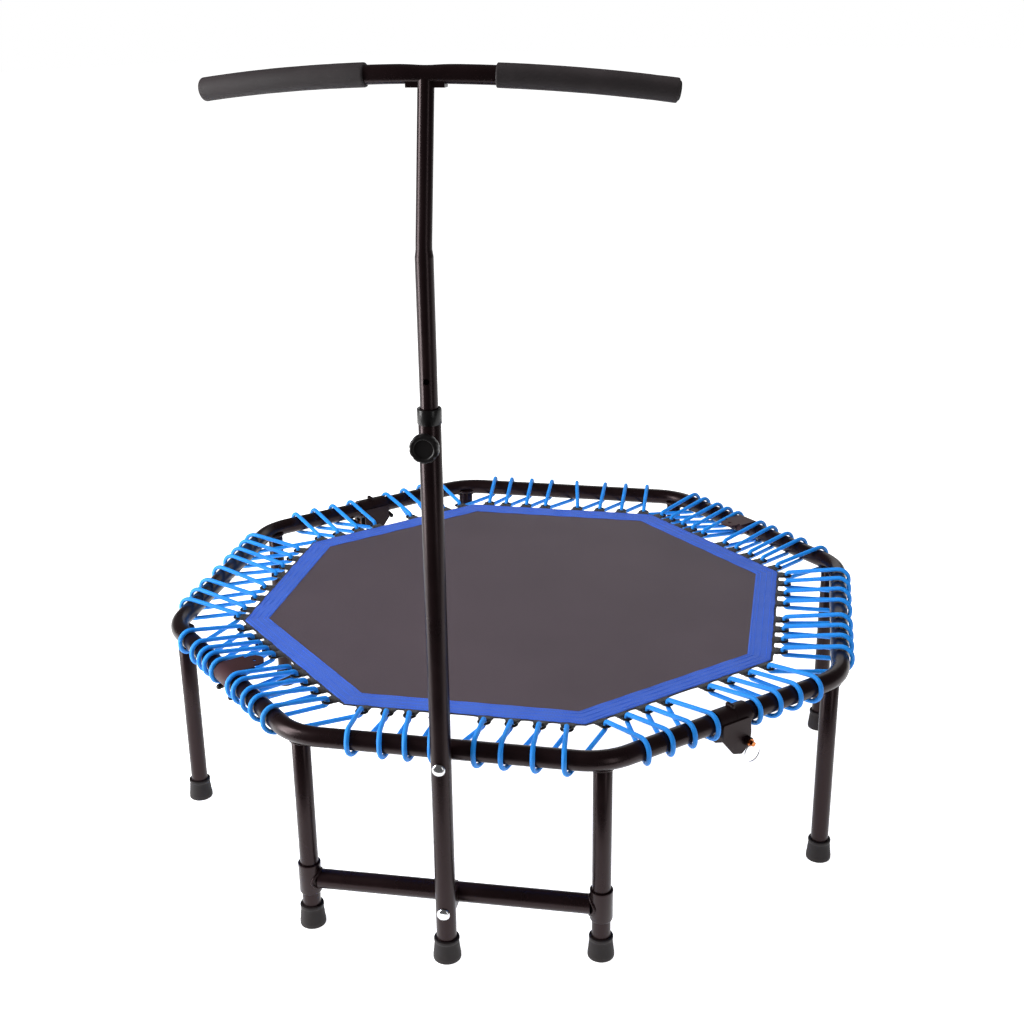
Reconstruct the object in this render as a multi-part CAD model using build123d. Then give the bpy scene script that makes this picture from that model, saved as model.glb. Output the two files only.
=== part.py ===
"""Octagonal fitness trampoline with a T-shaped support handle.

Units are millimetres, +Z is up and -Y is the handle's side. The model is built
about the octagon's centre on the floor and shifted along Y when it is written,
so the origin ends at the bottom centre of the whole object's box.
"""
import math
import os

from build123d import *

# ---- frame ring
APOTHEM = 594.0          # octagon centre to the tube's centreline: 1220 across the flats outside
RING_Z = 358.0           # height of the tube's centreline
TUBE_R = 16.0
WALL = 1.5
CORNER_R = 105.0         # bend radius of the tube's centreline at the corners
BUTT_GAP = 0.3           # half of the gap between two tube ends
TAN = math.tan(math.radians(22.5))

# ---- legs and feet
LEG_APOTHEM = 578.4
LEG_R = 15.0
FOOT_H = 39.0
FOOT_FLOOR = 6.0         # rubber under the end of a leg

# ---- mat
MAT_Z = 355.0
MAT_T = 2.0
MAT_APOTHEM = 437.0
BORDER_APOTHEM = 479.0
BORDER_T = 3.0
RING_N = 503.0           # distance of the cord's turn from the centre
TAB_RING_R = 9.0
TAB_WIRE_R = 2.0

# ---- elastic cord
CORD_R = 4.0
WRAP_R = 20.9            # square route round the tube, measured to the cord's centreline
WRAP_BEND = 19.6
TURN_R = 6.5
CORD_PITCH = 9.0         # from a cord's free end to its first wrap
# Each pair is (tab, wrap) along a side, counted anticlockwise seen from above.
FL_START = [(31, 40), (56, 64), (93, 101), (131, 133), (172, 180)]
FL_END = [(-168, -168), (-122, -114), (-88, -82), (-60, -58), (-33, -27)]
BR_START = [(46, 53), (79, 87), (112, 119), (150, 162), (182, 196)]
BR_END = [(-178, -196), (-135, -138), (-98, -98), (-58, -52), (-22, -17)]
FOUR_START = [(43, 47), (87, 91), (133, 135), (176, 180)]
FOUR_END = [(-172, -180), (-130, -133), (-88, -89), (-46, -42)]
FRONT_RUN = [(-164, -152), (-122, -100), (-84, -60), (-42, -20),
             (38, 47), (82, 89), (127, 138), (171, 186)]
BACK_RUN = [(-181, -176), (-132, -128), (-84, -81), (-34, -14),
            (38, 42), (81, 89), (127, 136), (165, 175)]
LEFT_RUN = [(-153, -165), (-108, -130), (-62, -88), (-20, -48),
            (44, 10), (94, 76), (148, 122), (182, 170)]
RIGHT_RUN = [(-158, -176), (-113, -128), (-69, -86), (-26, -41),
             (46, 25), (94, 78), (143, 129), (186, 173)]
# Runs of the three sides of each quarter, and whether its cord is laced clockwise.
QUARTERS = {-90: ((FL_START, FRONT_RUN, FOUR_END), False), 0: ((FOUR_START, RIGHT_RUN, BR_END), True),
            90: ((BR_START, BACK_RUN, FOUR_END), False), 180: ((FOUR_START, LEFT_RUN, FL_END), True)}

# ---- folding joints, in the joint's own frame: x along the tube, y up, z outward
SLEEVE_R = 20.0
SLEEVE_LEFT = -33.0
SLEEVE_RIGHT = 30.0
PIVOT_Y = 21.5
PIVOT_R = 2.4
KNUCKLE_R = 4.0
LOCK_X = 17.4
LOCK_Y = -36.0
LOCK_R = 4.0
SPLIT_RING_R = 15.5
SPLIT_WIRE_R = 0.9
SADDLES = {-135: (-21.0, 28.0), 45: (-4.5, 44.5)}    # ends of the splice plates along the tube

# ---- post and handle
POST_Y = -626.3
POST_TOP = 904.5
STEM_R = 12.7
NECK_R = 11.2
STEM_BOTTOM = 654.0
KINK_Z = 1130.0
BAR_Y = -586.0
BAR_Z = 1346.0
BAR_R = 12.7
BAR_HALF = 323.0
BAR_SWEEP = 40.0
BAR_DROOP = 23.0
GRIP_R = 16.0
GRIP_START_LEFT = 81.0
GRIP_START_RIGHT = 92.0
KNOB_Z = 860.0
HOLE_PITCH = 44.0
BRACE_LEFT_Z = 87.0
BRACE_RIGHT_Z = 94.0
BRACE_R = 16.0
BOLT_LOW_Z = 90.5
BOLT_HIGH_Z = 348.0

Y_SHIFT = 23.0           # brings the middle of the whole box to the origin


def side_point(angle, s, n, z):
    """Point at distance n along the side's outward normal and s along the side."""
    a = math.radians(angle)
    return Vector(n * math.cos(a) - s * math.sin(a), n * math.sin(a) + s * math.cos(a), z)


def corner(angle, apothem, z):
    """Octagon corner at the anticlockwise end of the side whose normal has this angle."""
    return side_point(angle, apothem * TAN, apothem, z)


def joint_frame(angle):
    """Frame on the tube at the middle of a side: x along the tube, y up, z outward."""
    a = math.radians(angle)
    return Plane(origin=side_point(angle, 0, APOTHEM, RING_Z),
                 x_dir=(-math.sin(a), math.cos(a), 0), z_dir=(math.cos(a), math.sin(a), 0))


def rod(start, end, radius):
    """Solid round bar between two points."""
    a, b = Vector(*start), Vector(*end)
    length = (b - a).length
    plane = Plane(origin=a, z_dir=b - a)
    return plane * Cylinder(radius, length, align=(Align.CENTER, Align.CENTER, Align.MIN))


def pipe(start, end, outer, inner):
    """Round tube between two points, its bore cut right through."""
    a, b = Vector(*start), Vector(*end)
    d = (b - a).normalized()
    return rod(a, b, outer) - rod(a - d, b + d, inner)


def box_between(low, high):
    """Box given by two opposite corners."""
    size = [h - l for l, h in zip(low, high)]
    mid = [(h + l) / 2 for l, h in zip(low, high)]
    return Pos(*mid) * Box(*size)


def swept(path, outer, inner=0.0):
    """Round section carried along a path."""
    plane = Plane(origin=path @ 0, z_dir=path % 0)
    section = Circle(outer)
    if inner:
        section = section - Circle(inner)
    return sweep(plane * section, path=path)


# ---------------------------------------------------------------- ring of tubes
def quarter_path(angle):
    """Centreline of the quarter centred on one side, from joint to joint."""
    start = side_point(angle - 45, BUTT_GAP, APOTHEM, RING_Z)
    end = side_point(angle + 45, -BUTT_GAP, APOTHEM, RING_Z)
    points = [start, corner(angle - 45, APOTHEM, RING_Z), corner(angle, APOTHEM, RING_Z), end]
    return FilletPolyline(*points, radius=CORNER_R)


def screw_bores(angle):
    """Bores of the splice screws, on the inner side of a joint."""
    frame = joint_frame(angle)
    return [frame * rod((x, 0, -24), (x, 0, -10), 2.6) for x in screw_spots(angle)]


def screw_spots(angle):
    """Positions of the splice screws along the tube."""
    low, high = SADDLES[angle]
    return low + 11, high - 11


def quarter_tube(angle, splice_angle, spigot):
    """Quarter of the ring. The spigot is the swaged end that enters the next tube."""
    tube = swept(quarter_path(angle), TUBE_R, TUBE_R - WALL)
    if spigot:
        reach = -30 if splice_angle == angle - 45 else 30
        tube += joint_frame(splice_angle) * swaged_end(reach)
    for bore in screw_bores(splice_angle):
        tube -= bore
    if angle == -90:
        tube -= rod((0, -APOTHEM - 40, BOLT_HIGH_Z), (0, -APOTHEM, BOLT_HIGH_Z), 4.1)
    return tube


def swaged_end(reach):
    """Reduced end of a tube reaching across a butt joint towards x = reach."""
    far = (reach, 0, 0)
    near = (-reach * 0.6, 0, 0)
    outer = TUBE_R - WALL
    sleeve = pipe(near, far, outer, outer - WALL)
    relief_start = (BUTT_GAP if reach > 0 else -BUTT_GAP, 0, 0)
    beyond = (reach * 1.2, 0, 0)
    return sleeve - pipe(relief_start, beyond, outer + 2, outer - 0.3)


# ---------------------------------------------------------------- legs and feet
LEG_SPOTS = {"fl": -135, "fr": -90, "rf": -45, "rb": 0, "br": 45, "bl": 90, "lb": 135, "lf": 180}


def leg(spot, ring_solid):
    """Leg tube, its top shaped to the underside of the ring."""
    base = corner(LEG_SPOTS[spot], LEG_APOTHEM, FOOT_FLOOR)
    top = Vector(base.X, base.Y, RING_Z - 4)
    tube = pipe(base, top, LEG_R, LEG_R - WALL) - ring_solid
    return max(tube.solids(), key=lambda solid: solid.volume)


def foot(x, y, tube_r):
    """Tapered rubber cap with a raised ring round its mouth."""
    grow = tube_r - LEG_R
    outline = [(0, 0), (20.3 + grow, 0), (21.5 + grow, 1.4), (21.3 + grow, 9), (18.4 + grow, FOOT_H - 6),
               (19.4 + grow, FOOT_H - 5), (19.4 + grow, FOOT_H - 1), (18.6 + grow, FOOT_H),
               (tube_r, FOOT_H), (tube_r, FOOT_FLOOR), (0, FOOT_FLOOR)]
    profile = make_face(Plane.XZ * Polyline(*outline, close=True))
    return Pos(x, y, 0) * revolve(profile, Axis.Z)


def feet(spots):
    """Caps of the named legs."""
    places = [corner(LEG_SPOTS[spot], LEG_APOTHEM, 0) for spot in spots]
    return [foot(p.X, p.Y, LEG_R) for p in places]


# ---------------------------------------------------------------- joints of the ring
def hinge_sleeve(x0, x1):
    """Sleeve over one tube end, in the joint's frame."""
    return pipe((x0, 0, 0), (x1, 0, 0), SLEEVE_R, TUBE_R)


def knuckle(z0, z1, radius=KNUCKLE_R):
    """Barrel of the hinge round the pivot."""
    return rod((0, PIVOT_Y, z0), (0, PIVOT_Y, z1), radius)


def pivot_bore():
    return rod((0, PIVOT_Y, -30), (0, PIVOT_Y, 30), PIVOT_R + 0.1)


def lock_plate(z0, z1):
    """Cheek plate that hangs below the tube."""
    outline = [(SLEEVE_LEFT, 4), (SLEEVE_LEFT, -24), (-10, -52), (8, -57), (24, -44), (26, -24), (24, 4)]
    face = make_face(Polyline(*outline, close=True))
    return Pos(0, 0, z0) * extrude(fillet(face.vertices(), 3), z1 - z0)


def hinge_housing():
    """Left half of a folding joint with both cheek plates."""
    part = hinge_sleeve(SLEEVE_LEFT, -BUTT_GAP)
    for side in (-1, 1):
        part += knuckle(side * 3, side * 7)
        low, high = sorted((side * 20.3, side * 23.3))
        part += lock_plate(low, high)
        low, high = sorted((side * 17.0, side * 21.0))
        part += box_between((SLEEVE_LEFT, -12, low), (-4, 4, high))
        low, high = sorted((side * 14.2, side * 21.0))
        part += box_between((SLEEVE_LEFT, -18, low), (-4, -11, high))
    part -= rod((SLEEVE_LEFT - 1, 0, 0), (0, 0, 0), TUBE_R)
    part -= knuckle(-3, 3, KNUCKLE_R + 0.3)
    part += rod((LOCK_X, LOCK_Y, 23.0), (LOCK_X, LOCK_Y, 30.0), 8.0)
    part -= rod((LOCK_X, LOCK_Y, 20.0), (LOCK_X, LOCK_Y, 31.0), LOCK_R + 0.1)
    return part - pivot_bore()


def hinge_leaf():
    """Right half of a folding joint with the lug between the cheek plates."""
    part = hinge_sleeve(BUTT_GAP, SLEEVE_RIGHT)
    part += box_between((3, -46, -3), (26, -17, 3))
    part += knuckle(-2.7, 2.7)
    part -= rod((0, 0, 0), (SLEEVE_RIGHT + 1, 0, 0), TUBE_R)
    part -= box_between((-8, 0, -9), (-BUTT_GAP, 16, 9))
    for side in (-1, 1):
        part -= knuckle(side * 2.7, side * 7.3, KNUCKLE_R + 0.3)
    part -= rod((LOCK_X, LOCK_Y, -5), (LOCK_X, LOCK_Y, 5), LOCK_R + 0.3)
    return part - pivot_bore()


def hinge_pivot():
    """Riveted pivot of a folding joint."""
    pin = rod((0, PIVOT_Y, -7.5), (0, PIVOT_Y, 7.5), PIVOT_R)
    for side in (-1, 1):
        pin += rod((0, PIVOT_Y, side * 7.4), (0, PIVOT_Y, side * 8.8), 2.75)
    return pin


def lock_pin():
    """Pull pin of a folding joint; its head has a cross hole for the split ring."""
    pin = rod((LOCK_X, LOCK_Y, 4.0), (LOCK_X, LOCK_Y, 39.0), LOCK_R)
    pin += rod((LOCK_X, LOCK_Y, 30.4), (LOCK_X, LOCK_Y, 33.0), 6.5)
    return pin - rod((LOCK_X - 9, LOCK_Y, 36.0), (LOCK_X + 9, LOCK_Y, 36.0), SPLIT_WIRE_R + 0.9)


def lock_ring():
    """Split ring hanging from the pull pin."""
    centre = Plane(origin=(LOCK_X, LOCK_Y - SPLIT_RING_R, 36.0), z_dir=(0, 0, 1))
    return centre * Torus(SPLIT_RING_R, SPLIT_WIRE_R)


def splice_plate(angle):
    """Saddle over a fixed joint with a flat tongue towards the mat."""
    low, high = SADDLES[angle]
    mid = (low + high) / 2
    saddle = pipe((low, 0, 0), (high, 0, 0), TUBE_R + 3, TUBE_R)
    saddle -= box_between((low - 5, -30, -30), (high + 5, -6, 30))
    tongue = box_between((low, TUBE_R, -36), (high, TUBE_R + 3, 0))
    tongue += box_between((mid - 16, TUBE_R, -56), (mid + 16, TUBE_R + 3, -30))
    tongue += rod((mid, TUBE_R, -44), (mid, TUBE_R + 3, -44), 18)
    tongue -= rod((mid, TUBE_R - 1, -46), (mid, TUBE_R + 4, -46), 4)
    part = saddle + tongue - rod((low - 8, 0, 0), (high + 8, 0, 0), TUBE_R)
    for x in screw_spots(angle):
        part -= rod((x, 0, -24), (x, 0, -10), 2.6)
    return part


def splice_screws(angle):
    """Two pan-head screws that hold the saddle."""
    return [rod((x, 0, -13.2), (x, 0, -19.5), 2.5) + rod((x, 0, -19.0), (x, 0, -22.0), 5.0)
            for x in screw_spots(angle)]


# ---------------------------------------------------------------- mat, border, tabs
def octagon(apothem, z, height):
    """Eight-sided prism with flats facing the sides of the ring."""
    points = [corner(45 * k, apothem, 0) for k in range(8)]
    face = make_face(Polyline(*[(p.X, p.Y) for p in points], close=True))
    return Pos(0, 0, z) * extrude(face, height)


def half_space(front):
    """Big block on one side of the fold line."""
    sign = -1 if front else 1
    block = Pos(0, sign * (1000 + BUTT_GAP), 0) * Box(3000, 2000, 1000)
    return Rot(0, 0, -45) * block


def mat_half(front):
    return octagon(MAT_APOTHEM, MAT_Z - MAT_T / 2, MAT_T) & half_space(front)


def border_half(front):
    ring = octagon(BORDER_APOTHEM, MAT_Z - BORDER_T / 2, BORDER_T)
    ring -= octagon(MAT_APOTHEM, MAT_Z - 5, 10)
    return ring & half_space(front)


def tab_ring(angle, s):
    """Small ring that hangs the cord on a tab."""
    p = side_point(angle, s, RING_N - TAB_RING_R, MAT_Z)
    return Pos(p.X, p.Y, p.Z) * Torus(TAB_RING_R, TAB_WIRE_R)


def tab(angle, s):
    """Webbing tab from the border to its ring."""
    n0, n1 = BORDER_APOTHEM, RING_N - TAB_RING_R - 2
    outline = [(n0, -12.5), (n1 - 2, -8), (n1 - 2, 8), (n0, 12.5)]
    face = make_face(Polyline(*outline, close=True))
    strap = Pos(0, 0, -1.5) * extrude(face, 3.0)
    strap += rod((n1 - 9, -8, 0), (n1 - 9, 8, 0), 4.6)
    strap -= Pos(RING_N - TAB_RING_R, 0, 0) * Torus(TAB_RING_R, TAB_WIRE_R + 0.2)
    strap = max(strap.solids(), key=lambda solid: solid.volume)
    strap -= box_between((n0 - 20, -20, -10), (n0, 20, 10))
    return Pos(0, 0, MAT_Z) * (Rot(0, 0, angle) * (Pos(0, s, 0) * strap))


# ---------------------------------------------------------------- elastic cord
def lace_of(angle):
    """Tabs and wraps of the quarter centred on a side in lacing order, as (side angle, tab, wrap)."""
    runs, clockwise = QUARTERS[angle]
    stops = [(angle - 45 + 45 * k, tab_s, wrap_s) for k, run in enumerate(runs) for tab_s, wrap_s in run]
    return stops[::-1] if clockwise else stops


def free_end(angle):
    """Side and position along it of the cord's free end before its first wrap."""
    side, _, wrap_s = lace_of(angle)[0]
    return side, wrap_s + (CORD_PITCH if QUARTERS[angle][1] else -CORD_PITCH)


def wrap_corner(n, z):
    """Upper wrap corner for a run that starts inside the ring at (n, z) from the tube's centre."""
    slope_to_centre = math.atan2(-z, -n)
    slope = slope_to_centre + math.asin(WRAP_R / math.hypot(n, z))
    return z + math.tan(slope) * (WRAP_R - n)


def lace_corners(angle):
    """Corner points of the cord's route with the bend radius at each."""
    stops = lace_of(angle)
    inner = RING_N - TURN_R
    low, high = MAT_Z - TURN_R, MAT_Z + TURN_R
    up = wrap_corner(inner - APOTHEM, high - RING_Z)
    down = -wrap_corner(inner - APOTHEM, RING_Z - low)
    side, s = free_end(angle)
    points = [(side_point(side, s, APOTHEM, RING_Z - WRAP_R - 0.6), 0)]
    for side, tab_s, wrap_s in stops:
        points.append((side_point(side, tab_s, inner, low), TURN_R - 0.4))
        points.append((side_point(side, tab_s, inner, high), TURN_R - 0.4))
        points.append((side_point(side, wrap_s, APOTHEM + WRAP_R, RING_Z + up), WRAP_BEND))
        points.append((side_point(side, wrap_s, APOTHEM + WRAP_R, RING_Z + down), WRAP_BEND))
    side, _, wrap_s = stops[-1]
    points.append((side_point(side, wrap_s, APOTHEM - 4, RING_Z - WRAP_R - 0.6), 0))
    return points


def bend(before, at, after, radius):
    """Start, middle and end of the arc that rounds a corner."""
    a = (before - at).normalized()
    b = (after - at).normalized()
    half = a.get_angle(b) / 2
    reach = radius / math.tan(math.radians(half))
    middle = (a + b).normalized()
    centre = at + middle * (radius / math.sin(math.radians(half)))
    return at + a * reach, centre - middle * radius, at + b * reach


def rounded_wire(corners):
    """Wire of straight runs and tangent arcs through corner points."""
    edges = []
    last = corners[0][0]
    for k in range(1, len(corners) - 1):
        start, mid, end = bend(corners[k - 1][0], corners[k][0], corners[k + 1][0], corners[k][1])
        edges.append(Edge.make_line(last, start))
        edges.append(Edge.make_three_point_arc(start, mid, end))
        last = end
    edges.append(Edge.make_line(last, corners[-1][0]))
    return Wire(edges)


def cord(angle):
    """Elastic cord of one quarter, laced between the tabs and the tube."""
    route = rounded_wire(lace_corners(angle))
    solid = swept(route, CORD_R)
    expected = math.pi * CORD_R ** 2 * route.length
    print(f"cord {angle}: length {route.length:.0f} mm, volume ratio {solid.volume / expected:.4f}")
    return solid


def cord_ends(angle):
    """Plastic hooks on the two ends of a quarter's cord."""
    side, s = free_end(angle)
    z = RING_Z - WRAP_R - 0.9
    start = (side_point(side, s, APOTHEM + 1.2, z), side_point(side, s, APOTHEM + 13, z - 2))
    side, _, s = lace_of(angle)[-1]
    end = (side_point(side, s, APOTHEM - 5.2, z), side_point(side, s, APOTHEM - 17, z - 2))
    hooks = []
    for a, b in (start, end):
        hooks.append(rod(a, b, 4.9) + Pos(b.X, b.Y, b.Z) * Sphere(4.9))
    return hooks


# ---------------------------------------------------------------- brace and post
def brace_spots():
    """Axis points of the brace on the two front legs; the right end stands a little higher."""
    left = corner(LEG_SPOTS["fl"], LEG_APOTHEM, BRACE_LEFT_Z)
    right = corner(LEG_SPOTS["fr"], LEG_APOTHEM, BRACE_RIGHT_Z)
    return left, right


def brace_bar():
    """Cross tube between the two front legs, drilled for the post's bolt."""
    left, right = brace_spots()
    bar = pipe(left, right, BRACE_R, BRACE_R - WALL)
    for p in (left, right):
        bar -= rod((p.X, p.Y, 20), (p.X, p.Y, 200), LEG_R + 3.3)
    bar = max(bar.solids(), key=lambda solid: solid.volume)
    return bar - rod((0, -700, BOLT_LOW_Z), (0, -500, BOLT_LOW_Z), 4.1)


def brace_sleeves():
    """Sleeves round the two front legs that the brace is welded to."""
    return [pipe((p.X, p.Y, p.Z - 25), (p.X, p.Y, p.Z + 30), LEG_R + 3.3, LEG_R) for p in brace_spots()]


def lower_post():
    """Outer tube of the handle, drilled for its bolts and the knob's pin."""
    post = pipe((0, POST_Y, FOOT_FLOOR), (0, POST_Y, POST_TOP), TUBE_R, TUBE_R - WALL)
    for z in (BOLT_LOW_Z, BOLT_HIGH_Z):
        post -= rod((0, -700, z), (0, -500, z), 4.1)
    boss = rod((0, POST_Y, KNOB_Z), (0, POST_Y - 24, KNOB_Z), 12)
    boss -= rod((0, POST_Y, KNOB_Z - 50), (0, POST_Y, KNOB_Z + 50), TUBE_R - 0.5)
    boss = max(boss.solids(), key=lambda solid: solid.volume)
    post += boss
    return post - rod((0, POST_Y, KNOB_Z), (0, POST_Y - 40, KNOB_Z), 4.1)


def post_collar():
    """Plastic bush at the mouth of the post that guides the stem."""
    collar = pipe((0, POST_Y, POST_TOP - 18), (0, POST_Y, POST_TOP), TUBE_R + 1.4, TUBE_R)
    collar += pipe((0, POST_Y, POST_TOP), (0, POST_Y, POST_TOP + 4), TUBE_R + 1.4, STEM_R + 0.05)
    collar += pipe((0, POST_Y, POST_TOP - 30), (0, POST_Y, POST_TOP), TUBE_R - WALL, STEM_R + 0.05)
    return collar


def post_brackets():
    """Spacers between the post and the ring, and between the post and the brace."""
    high = box_between((-8, POST_Y + 10, 342), (8, -600, 362))
    high -= rod((-20, -APOTHEM, RING_Z), (20, -APOTHEM, RING_Z), TUBE_R)
    low = box_between((-11, POST_Y + 10, 75), (11, -LEG_APOTHEM, 106))
    low -= rod(*brace_spots(), BRACE_R)
    blocks = []
    for block, z in ((high, BOLT_HIGH_Z), (low, BOLT_LOW_Z)):
        block -= rod((0, POST_Y, 0), (0, POST_Y, 1000), TUBE_R)
        block -= rod((0, -700, z), (0, -500, z), 4.1)
        blocks.append(max(block.solids(), key=lambda solid: solid.volume))
    return blocks


def carriage_bolt(z, end_y):
    """Domed bolt through the post, up to end_y."""
    dome = Pos(0, POST_Y - 10.4, z) * Sphere(11.5)
    dome &= box_between((-10.3, POST_Y - 24, z - 10.3), (10.3, POST_Y - TUBE_R - 0.2, z + 10.3))
    return dome + rod((0, POST_Y - TUBE_R - 0.5, z), (0, end_y, z), 4.0)


def post_bolts():
    """Upper bolt, blind into the ring tube, and lower bolt through the brace with its nut."""
    seat = -LEG_APOTHEM + BRACE_R
    nut = Plane(origin=(0, seat + 0.2, BOLT_LOW_Z), z_dir=(0, 1, 0)) * extrude(RegularPolygon(7.0, 6), 6.5)
    return [carriage_bolt(BOLT_HIGH_Z, -APOTHEM + 4), carriage_bolt(BOLT_LOW_Z, seat + 9) + nut]


# ---------------------------------------------------------------- handle
def bar_arc():
    """Centreline of the handlebar: swept back and drooping towards its ends."""
    end_y, end_z = BAR_Y + BAR_SWEEP, BAR_Z - BAR_DROOP
    return Edge.make_three_point_arc((-BAR_HALF, end_y, end_z), (0, BAR_Y, BAR_Z), (BAR_HALF, end_y, end_z))


def upper_stem():
    """Inner tube with a row of holes and a narrower neck that leans back to the bar."""
    stem = rod((0, POST_Y, STEM_BOTTOM), (0, POST_Y, KINK_Z - 14), STEM_R)
    cone = Cone(STEM_R, NECK_R, 10, align=(Align.CENTER, Align.CENTER, Align.MIN))
    stem += Pos(0, POST_Y, KINK_Z - 14) * cone
    route = FilletPolyline((0, POST_Y, KINK_Z - 40), (0, POST_Y, KINK_Z), (0, BAR_Y, BAR_Z), radius=120)
    stem += swept(route, NECK_R)
    hollow = rod((0, POST_Y, STEM_BOTTOM - 1), (0, POST_Y, KINK_Z - 30), STEM_R - WALL)
    stem = stem - hollow - swept(bar_arc(), BAR_R)
    stem = max(stem.solids(), key=lambda solid: solid.volume)
    for k in range(-3, 3):
        z = KNOB_Z + k * HOLE_PITCH
        stem -= rod((0, POST_Y, z), (0, POST_Y - 20, z), 4.4)
    return stem


def bar_part(u0, u1, outer, inner):
    """Stretch of round tube along the handlebar between two fractions of its length."""
    return swept(bar_arc().trim(u0, u1), outer, inner)


def bar_saddle():
    """Plate that cradles the bar on top of the neck."""
    plate = box_between((-26.5, BAR_Y - 9, BAR_Z - BAR_R - 4), (26.5, BAR_Y + 9, BAR_Z - 6))
    plate -= swept(bar_arc(), BAR_R)
    neck = FilletPolyline((0, POST_Y, KINK_Z - 40), (0, POST_Y, KINK_Z), (0, BAR_Y, BAR_Z), radius=120)
    plate -= swept(neck, NECK_R)
    return plate.solids().filter_by(lambda solid: solid.volume > 100)


def bar_plugs():
    """End plugs pushed into the bar."""
    plugs = []
    arc = bar_arc()
    for u, sign in ((0, -1), (1, 1)):
        p, d = arc @ u, arc % u
        plugs.append(rod(p - d * (sign * 15), p, BAR_R - WALL) + rod(p, p + d * (sign * 2.5), BAR_R))
    return plugs


def knob():
    """Round pull knob with finger grooves."""
    body = rod((0, POST_Y - 25.5, KNOB_Z), (0, POST_Y - 39.5, KNOB_Z), 21)
    edges = body.edges().filter_by(GeomType.CIRCLE)
    body = fillet(edges, 2.5)
    for k in range(10):
        a = math.radians(36 * k)
        x, z = 23.5 * math.cos(a), KNOB_Z + 23.5 * math.sin(a)
        body -= rod((x, POST_Y - 20, z), (x, POST_Y - 45, z), 4.0)
    return body - rod((0, POST_Y - 20, KNOB_Z), (0, POST_Y - 33, KNOB_Z), 4.0)


def knob_pin():
    """Steel pin of the knob; its nose ends just short of the stem."""
    return rod((0, POST_Y - STEM_R - 0.4, KNOB_Z), (0, POST_Y - 33, KNOB_Z), 4.0)


# ---------------------------------------------------------------- assembly
def ring_parts():
    """Tubes, legs, feet and the hardware of the four joints."""
    solid_ring = {angle: swept(quarter_path(angle), TUBE_R) for angle in (-90, 0, 90, 180)}
    owner = {"fl": -90, "fr": -90, "rf": 0, "rb": 0, "br": 90, "bl": 90, "lb": 180, "lf": 180}
    parts = {"tube_front": quarter_tube(-90, -135, True), "tube_left": quarter_tube(180, -135, False),
             "tube_right": quarter_tube(0, 45, False), "tube_back": quarter_tube(90, 45, True)}
    for spot, angle in owner.items():
        parts[f"leg_{spot}"] = leg(spot, solid_ring[angle])
    parts["feet_front"] = feet(("fl", "fr", "lb", "lf"))
    parts["feet_rear"] = feet(("rf", "rb", "br", "bl"))
    for name, angle in (("fl", -135), ("br", 45)):
        frame = joint_frame(angle)
        parts[f"splice_plate_{name}"] = frame * splice_plate(angle)
        parts[f"splice_screws_{name}"] = [frame * screw for screw in splice_screws(angle)]
    for name, angle in (("fr", -45), ("bl", 135)):
        frame = joint_frame(angle)
        parts[f"hinge_housing_{name}"] = frame * hinge_housing()
        parts[f"hinge_leaf_{name}"] = frame * hinge_leaf()
        parts[f"hinge_pivot_{name}"] = frame * hinge_pivot()
        parts[f"lock_pin_{name}"] = frame * lock_pin()
        parts[f"lock_ring_{name}"] = frame * lock_ring()
    return parts


def mat_parts():
    """Mat, border, tabs, rings and cords."""
    parts = {}
    quarters = {"front": (-90, 180), "rear": (0, 90)}
    names = {-90: "front", 0: "right", 90: "back", 180: "left"}
    for half, angles in quarters.items():
        parts[f"mat_{half}"] = mat_half(half == "front")
        parts[f"border_{half}"] = border_half(half == "front")
        stops = [stop for angle in angles for stop in lace_of(angle)]
        parts[f"tabs_{half}"] = [tab(side, s) for side, s, _ in stops]
        parts[f"tab_rings_{half}"] = [tab_ring(side, s) for side, s, _ in stops]
        parts[f"cord_ends_{half}"] = [hook for angle in angles for hook in cord_ends(angle)]
        for angle in angles:
            parts[f"cord_{names[angle]}"] = cord(angle)
    return parts


def handle_parts():
    """Brace, post, stem, bar, grips and knob."""
    left_share = 0.5 * (1 - GRIP_START_LEFT / BAR_HALF)
    right_share = 0.5 * (1 - GRIP_START_RIGHT / BAR_HALF)
    return {
        "brace_bar": brace_bar(), "brace_sleeves": brace_sleeves(),
        "lower_post": lower_post(), "post_foot": foot(0, POST_Y, TUBE_R), "post_collar": post_collar(),
        "post_brackets": post_brackets(), "post_bolts": post_bolts(),
        "upper_stem": upper_stem(), "handlebar": bar_part(0, 1, BAR_R, BAR_R - WALL),
        "bar_saddle": bar_saddle(), "bar_plugs": bar_plugs(),
        "grip_left": bar_part(0, left_share, GRIP_R, BAR_R),
        "grip_right": bar_part(1 - right_share, 1, GRIP_R, BAR_R),
        "knob": knob(), "knob_pin": knob_pin(),
    }


def main():
    os.makedirs("parts", exist_ok=True)
    parts = {**ring_parts(), **mat_parts(), **handle_parts()}
    for name, shape in parts.items():
        bodies = list(shape) if isinstance(shape, (list, ShapeList)) else [shape]
        solids = [solid for body in bodies for solid in body.solids()]
        moved = Pos(0, Y_SHIFT, 0) * (solids[0] if len(solids) == 1 else Compound(solids))
        export_step(moved, f"parts/{name}.step")
    print(len(parts), "nodes")


if __name__ == "__main__":
    main()
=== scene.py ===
"""Looks of an octagonal fitness trampoline, laid out as a Blender add-on and run as a script."""
import math

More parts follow.
